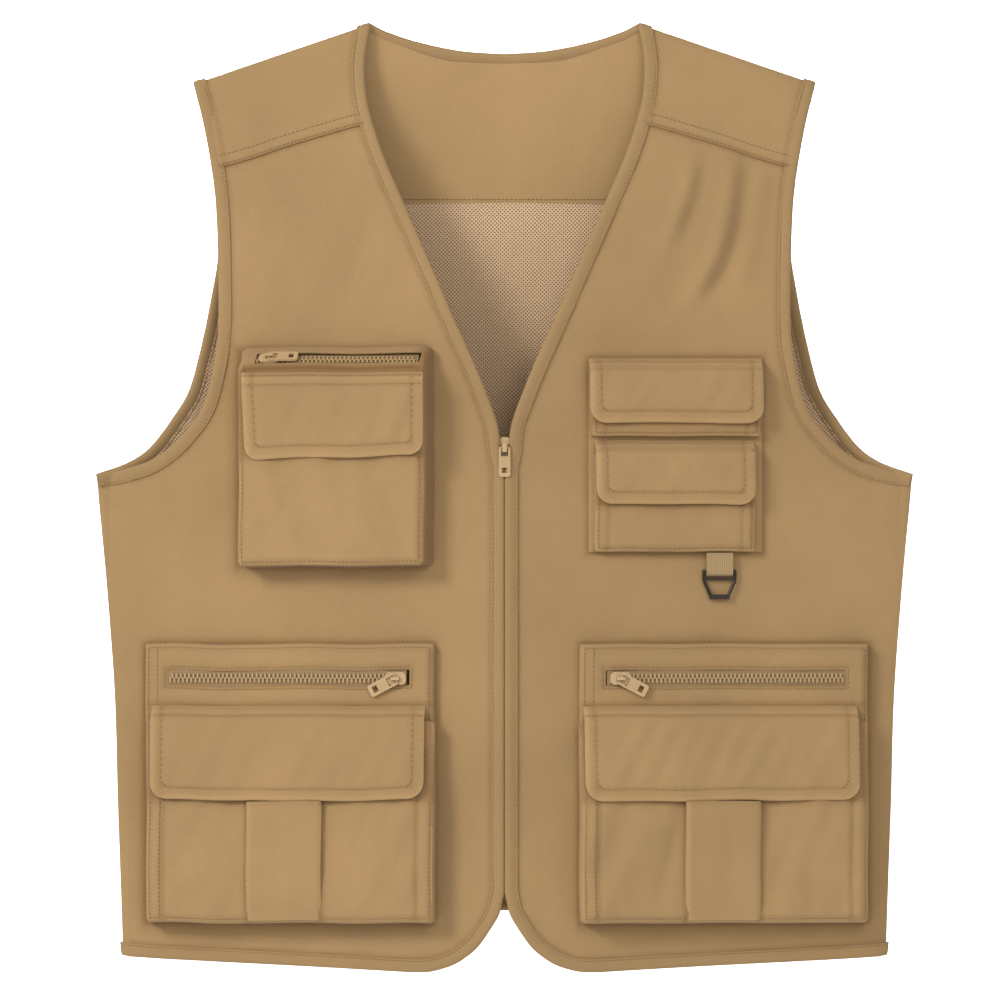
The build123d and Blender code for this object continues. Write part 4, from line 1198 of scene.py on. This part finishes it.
    rows = [
        np.array([(u[0] + 2.5, -489), (u[0] + 2.5, CARGO_TOP - 2.5), (u[1] - 2.5, CARGO_TOP - 2.5),
                  (u[1] - 2.5, -489)]),
        np.array([(u[0] + 9.0, -477), (u[0] + 9.0, CARGO_TOP - 2.5)]),
        rounded((slot[0] - 2.2, slot[1] + 2.2), (slot_z[0] - 2.2, slot_z[1] + 2.2), (1.2, 1.2), 2.0),
    ]
    sewn_rows(f"{name}_backing_stitching", side, rows, backing_depth, body)
    rows = [
        np.array([(bag_u[0] + 3, -546), (bag_u[0] + 3, -628), (bag_u[1] - 3, -628), (bag_u[1] - 3, -546)]),
        np.array([(bag_u[0] + 10, -546), (bag_u[0] + 10, -628)]),
    ]
    sewn_rows(f"{name}_bag_stitching", side, rows, bag_depth, body)
    flap_u = (along(side, flap_x[0], BAG_N), along(side, flap_x[1], BAG_N))
    make_flap(name, side, flap_u, [(BACKING_N + 0.6, -479.5), (17.9, -491.0), (22.9, -544.6)], 11.0, seed + 7)
    tape = f"{name}_loop_tape"
    fuzzy_tape(f"{tape}_cloth", side, body, tape, tape, seed, lambda at_u, z: bag_depth(at_u, z) + LOOP_LIFT)
    make_zip(name, side, body)


make_cargo(-1, "cargo_right", (-252.4, -50.0), (-236.5, -66.5), (-248.6, -57.0), -155.0, 11)
make_cargo(1, "cargo_left", (54.0, 256.0), (71.5, 240.0), (57.0, 249.0), 153.0, 23)


# ---- chest box pocket ----------------------------------------------------------------------------------
BOX_X, BOX_TOP, BOX_BOTTOM, BOX_N = (-187.0, -57.0), -228.0, -381.0, 26.0
BOX_SHELF = (7.0, -228.0, 26.0, -243.0)  # depth and height at the back and the front of its sloping top


def make_chest_box():
    side, body, name = -1, "front_right", "chest_box"
    u = (along(side, BOX_X[0], BOX_N), along(side, BOX_X[1], BOX_N))
    size = (u[1] - u[0], BOX_TOP - BOX_BOTTOM)
    near_n, near_z, far_n, far_z = BOX_SHELF
    slope = math.hypot(far_n - near_n, far_z - near_z)
    slot_part = ((slope - 2 * SLOT_HALF) / 2 / slope, (slope + 2 * SLOT_HALF) / 2 / slope)
    slot_u = (u[0] + 11.0, u[1] - 3.0)

    def depth(at_u, z):
        sides = to_sides(at_u, u)
        edge = np.minimum(np.minimum(sides, far_z - z), z - BOX_BOTTOM)
        n = BOX_N - 0.4 - 4.2 * (1 - roll_in(edge, 6.0)) + groove(edge - 3.0, 0.3)
        height = np.clip((z - BOX_BOTTOM) / (far_z - BOX_BOTTOM), 0, 1)
        belly = 1.2 * np.sin(np.pi * height) * roll_in(sides, 50)
        streaks = np.stack([at_u + 0.4 * z, 0.4 * z, 0 * z], axis=1)
        n = n + 2.6 * noise_at(streaks, 20.0, 43) * roll_in(edge - 3, 20.0)
        return n + belly - 1.2 + wrinkled(at_u, z, 41, 0.8) * roll_in(edge, 14.0)

    def shelf(part):
        return near_n + part * (far_n - near_n), near_z + part * (far_z - near_z)

    loops = [(rounded((u[0], u[1] + 4.0), (BOX_BOTTOM - 0.5, BOX_TOP), (4, 5), like=size), 0.9)]
    for part, pinch in ((0.0, 0.6), (slot_part[0], 2.2), (slot_part[1], 1.0)):
        n, top = shelf(part)
        at_u = (u[0] + pinch * 0.5, u[1] + 4.0 * (1 - part) - pinch)
        loops.append((rounded(at_u, (BOX_BOTTOM + pinch * 0.5, top), (4, 5), like=size), n))
    loops.append((rounded((u[0] + 0.6, u[1] - 0.6), (BOX_BOTTOM + 0.8, far_z), (4, 5), like=size), None))

    def slot(level, a, b):
        on_top = min(a[1], b[1]) > BOX_TOP - 12
        return level == 1 and on_top and slot_u[0] < (a[0] + b[0]) / 2 < slot_u[1]

    # Painted shade in the stitch groove, under the flap and along the crease at the top of the front, and
    # painted highlight, partly edge wear, on the rolled edge.
    def marks(at_u, z):
        edge = np.minimum(to_sides(at_u, u), z - BOX_BOTTOM)
        tone = line_mark(edge - 3.4, 0.25, 1.2) - line_mark(edge, 0.22, 1.8)
        return tone + 0.45 * np.exp(-np.maximum(-304.0 - z, 0) / 3.0) + line_mark(z - far_z - 1.0, 0.3, 2.0)

    box = pouch(f"{name}_pocket_cloth", side, loops, depth, SHELL, skip=slot, marks=marks, wall_shade=0.62)
    attach(box, "shell", body, f"{name}_pocket")
    low_rows = [
        np.array([(u[0] + 3, -304), (u[0] + 3, BOX_BOTTOM + 3), (u[1] - 3, BOX_BOTTOM + 3),
                  (u[1] - 3, -304)]),
        np.array([(u[0] + 3, far_z - 3), (u[1] - 3, far_z - 3)]),
    ]
    sewn_rows("chest_box_stitching", side, low_rows, depth, body)
    flap_u = (along(side, -184.0, BOX_N), along(side, -57.0, BOX_N))
    line = [(BOX_N + 0.5, -245.5), (BOX_N + 2.2, -256.0), (BOX_N + 2.8, -302.5)]
    make_flap(name, side, flap_u, line, 9.0, 47, skew=(3.0, 3.5))
    tape = f"{name}_loop_tape"
    fuzzy_tape(f"{tape}_cloth", side, body, tape, tape, 5, lambda at_u, z: depth(at_u, z) + LOOP_LIFT)
    make_zip(name, side, body, math.atan2(far_n - near_n, near_z - far_z), (-6.6, 9.0))


make_chest_box()


# ---- chest patch with two small pockets, webbing tab ---------------------------------------------------
PATCH_X, PATCH_TOP, PATCH_BOTTOM = (59.0, 181.0), -235.0, -371.0
# name, the flap's sides in x, its top and bottom, seed
PATCH_POCKETS = (
    ("chest_patch_upper", (60.5, 181.5), -235.7, -280.0, 61),
    ("chest_patch_lower", (64.5, 175.7), -292.6, -337.0, 67),
)


def make_chest_patch():
    side, body = 1, "front_left"
    u = (along(side, PATCH_X[0], 2.0), along(side, PATCH_X[1], 2.0))

    def patch_depth(at_u, z):
        edge = np.minimum(to_sides(at_u, u), np.minimum(PATCH_TOP - z, z - PATCH_BOTTOM))
        return 1.7 - 0.7 * (1 - roll_in(edge, 2.0)) + groove(edge - 2.4, 0.25) + wrinkled(at_u, z, 71, 0.15)

    outline = rounded(u, (PATCH_BOTTOM, PATCH_TOP), (1, 1))
    flat, faces = fill(outline, 3.0)
    points = np.stack([flat[:, 0], patch_depth(flat[:, 0], flat[:, 1]), flat[:, 1]], axis=1)
    # Painted shade below the upper flap's edge and above the lower flap's sewn top.
    shade_near_flap = line_mark(flat[:, 1] + 283.0, 0.35, 3.0) + line_mark(flat[:, 1] + 291.0, 0.30, 1.6)
    backing = new_mesh("chest_patch_backing_cloth", place(side, points), faces, SHELL, tone=shade_near_flap)
    backing = thicken(backing, 0.9)
    attach(backing, "shell", body, "chest_patch_backing")

    for name, flap_x, top, flap_bottom, seed in PATCH_POCKETS:
        low, high = local_box(side, f"{name}_bag")
        bag_u, bag_z = (low[0], high[0]), (low[2], high[2])
        bag_size = (bag_u[1] - bag_u[0], bag_z[1] - bag_z[0])
        front = high[1]

        def bag_depth(at_u, z):
            sides = to_sides(at_u, bag_u)
            edge = np.minimum(sides, z - bag_z[0])
            n = front - 0.5 - 3.0 * (1 - roll_in(edge, 5.0)) + groove(sides - 9.0, 0.5, 1.4)
            n = n - 1.6 * ramp(z, bag_z[0], bag_z[1]) + groove(edge - 2.6, 0.25)
            return n + wrinkled(at_u, z, seed, 0.5) * roll_in(edge, 12.0)

        loops = [
            (rounded(bag_u, bag_z, (1.5, 0.8), like=bag_size), 2.2),
            (rounded((bag_u[0] + 1.0, bag_u[1] - 1.0), (bag_z[0] + 0.6, bag_z[1]), (1.5, 0.8),
                     like=bag_size), 3.6),
            (rounded((bag_u[0] + 0.7, bag_u[1] - 0.7), (bag_z[0] + 0.5, bag_z[1]), (1.5, 0.8),
                     like=bag_size), None),
        ]
        mouth = bag_z[1] - 0.9

        # Painted shade in the stitch groove, in the side fold groove and under the flap, and painted
        # highlight, partly edge wear, on the rolled edge.
        def marks(at_u, z):
            sides = to_sides(at_u, bag_u)
            edge = np.minimum(sides, z - bag_z[0])
            tone = line_mark(edge - 3.0, 0.25, 1.2) - line_mark(edge, 0.22, 1.6)
            tone = tone + line_mark(sides - 9.5, 0.3, 1.3)
            return tone + 0.50 * np.exp(-np.maximum(flap_bottom - z - 1.0, 0) / 2.6)

        bag = pouch(f"{name}_bag_cloth", side, loops, bag_depth, SHELL, marks=marks,
                    skip=lambda _, a, b, mouth=mouth: min(a[1], b[1]) > mouth)
        attach(bag, "shell", body, f"{name}_bag")
        rows = [np.array([(bag_u[0] + 2.6, bag_z[1] - 2), (bag_u[0] + 2.6, bag_z[0] + 2.6),
                          (bag_u[1] - 2.6, bag_z[0] + 2.6), (bag_u[1] - 2.6, bag_z[1] - 2)])]
        sewn_rows(f"{name}_bag_stitching", side, rows, bag_depth, body)
        flap_u = (along(side, flap_x[0], 10.0), along(side, flap_x[1], 10.0))
        mouth_z = top - 9.0
        line = [(2.4, top - 0.8), (10.4, mouth_z - 1.5), (11.4, flap_bottom)]
        make_flap(name, side, flap_u, line, 10.0, seed, puff=0.6)
        fuzzy_tape(f"{name}_loop_tape_cloth", side, body, f"{name}_hook_tape", "chest_patch_loop_tapes",
                   seed + 2, lambda at_u, z: bag_depth(at_u, z) + LOOP_LIFT)


def make_webbing():
    """Doubled webbing that goes round the ring's upper bar."""
    side = 1
    low, high = local_box(side, "webbing_tab")
    middle, radius = (low[1] + high[1]) / 2, (high[1] - low[1]) / 2 - 0.55
    bar_z = low[2] + (high[1] - low[1]) / 2
    turn = np.radians(np.linspace(180, 360, 13))
    path = [(middle - radius, high[2] - 0.2), (middle - radius, bar_z + 6)]
    path += [(middle + radius * math.cos(a), bar_z + radius * math.sin(a)) for a in turn]
    path += [(middle + radius, bar_z + 6), (middle + radius - 0.3, high[2] - 0.2)]
    path = even(path, 1.0)
    widths = np.linspace(low[0] + 0.2, high[0] - 0.2, 15)
    points = [(u, n, z) for n, z in path for u in widths]
    faces = grid_faces(len(path), len(widths))
    tab = thicken(new_mesh("webbing_tab_cloth", place(side, points), faces, WEBBING), 1.0)
    attach(tab, "webbing", "front_left", "webbing_tab")


make_chest_patch()
make_webbing()


# ---- what stays as it came from CAD --------------------------------------------------------------------
def dress(node, made, bevel=0.0):
    """Gives a CAD node its material and, with a bevel in millimetres, softens its edges."""
    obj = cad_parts[node]
    obj.data.materials.clear()
    obj.data.materials.append(made)
    if bevel:
        edge = obj.modifiers.new("soft edges", "BEVEL")
        edge.width = bevel * MM
        edge.segments = 2
        edge.limit_method = "ANGLE"


def make_zips_and_ring():
    for node in sorted(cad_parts):
        if "zip_teeth" in node or node in ("insertion_pin", "retainer_box"):
            dress(node, TEETH, 0.15)
        elif node.endswith(("_slider", "_pull")):
            dress(node, ENAMEL)
        elif node == "d_ring":
            dress(node, GUNMETAL)


make_zips_and_ring()


# ---- light, camera and the room ------------------------------------------------------------------------
def area_light(name, place_at, aim_at, size, power):
    lamp = bpy.data.lights.new(name, "AREA")
    lamp.size = size
    lamp.energy = power
    obj = bpy.data.objects.new(name, lamp)
    obj.location = place_at
    obj.rotation_euler = (Vector(aim_at) - Vector(place_at)).to_track_quat("-Z", "Y").to_euler()
    bpy.context.scene.collection.objects.link(obj)


WALL_Y, WALL_BEND, FLOOR_Z, ROOM_HALF = 12.5, 0.7, -2.0, 12.5


def make_room():
    """Pale floor that curves up into a backdrop, far enough behind the vest to stay even."""
    rows = [(-WALL_Y, FLOOR_Z)]
    for angle in np.linspace(0, math.pi / 2, 15):
        rows.append((WALL_Y - WALL_BEND * (1 - math.sin(angle)), FLOOR_Z + WALL_BEND * (1 - math.cos(angle))))
    rows.append((WALL_Y, 4.0))
    points = [(x, y, z) for y, z in rows for x in (-ROOM_HALF, ROOM_HALF)]
    faces = [(2 * i, 2 * i + 1, 2 * i + 3, 2 * i + 2) for i in range(len(rows) - 1)]
    room = new_mesh("room", np.array(points) / MM, faces, plain("pale_paper", (0.92, 0.92, 0.92, 1)))
    world = bpy.data.worlds.new("soft_sky")
    world.use_nodes = True
    world.node_tree.nodes["Background"].inputs[0].default_value = (1, 1, 1, 1)
    world.node_tree.nodes["Background"].inputs[1].default_value = 0.62
    bpy.context.scene.world = world
    centre = (0, 0, -0.33)
    area_light("key", (-3.4, -3.4, 2.0), centre, 1.4, 158)
    area_light("fill", (1.1, -4.8, 1.5), centre, 1.8, 64)
    area_light("back", (1.5, 2.6, 1.4), centre, 1.4, 30)
    area_light("backdrop", (0.0, WALL_Y - 1.0, 1.8), (0, WALL_Y, -0.4), 2.2, 270)


CAMERA_X, CAMERA_Z = -0.00315, -0.3346  # level with the middle of the vest
CAMERA_DISTANCE, FRAMED_WIDTH, FRONT_DEPTH = 8.0, 0.700, 0.045


def make_camera():
    """Camera square to the front; FRAMED_WIDTH is what it takes in at FRONT_DEPTH in front of the origin."""
    camera = bpy.data.cameras.new("camera")
    camera.sensor_width = 36.0
    camera.lens = camera.sensor_width * (CAMERA_DISTANCE - FRONT_DEPTH) / FRAMED_WIDTH
    obj = bpy.data.objects.new("camera", camera)
    obj.location = (CAMERA_X, -CAMERA_DISTANCE, CAMERA_Z)
    obj.rotation_euler = (math.pi / 2, 0, 0)
    bpy.context.scene.collection.objects.link(obj)
    bpy.context.scene.camera = obj
    bpy.context.scene.view_settings.view_transform = "Standard"


make_room()
make_camera()
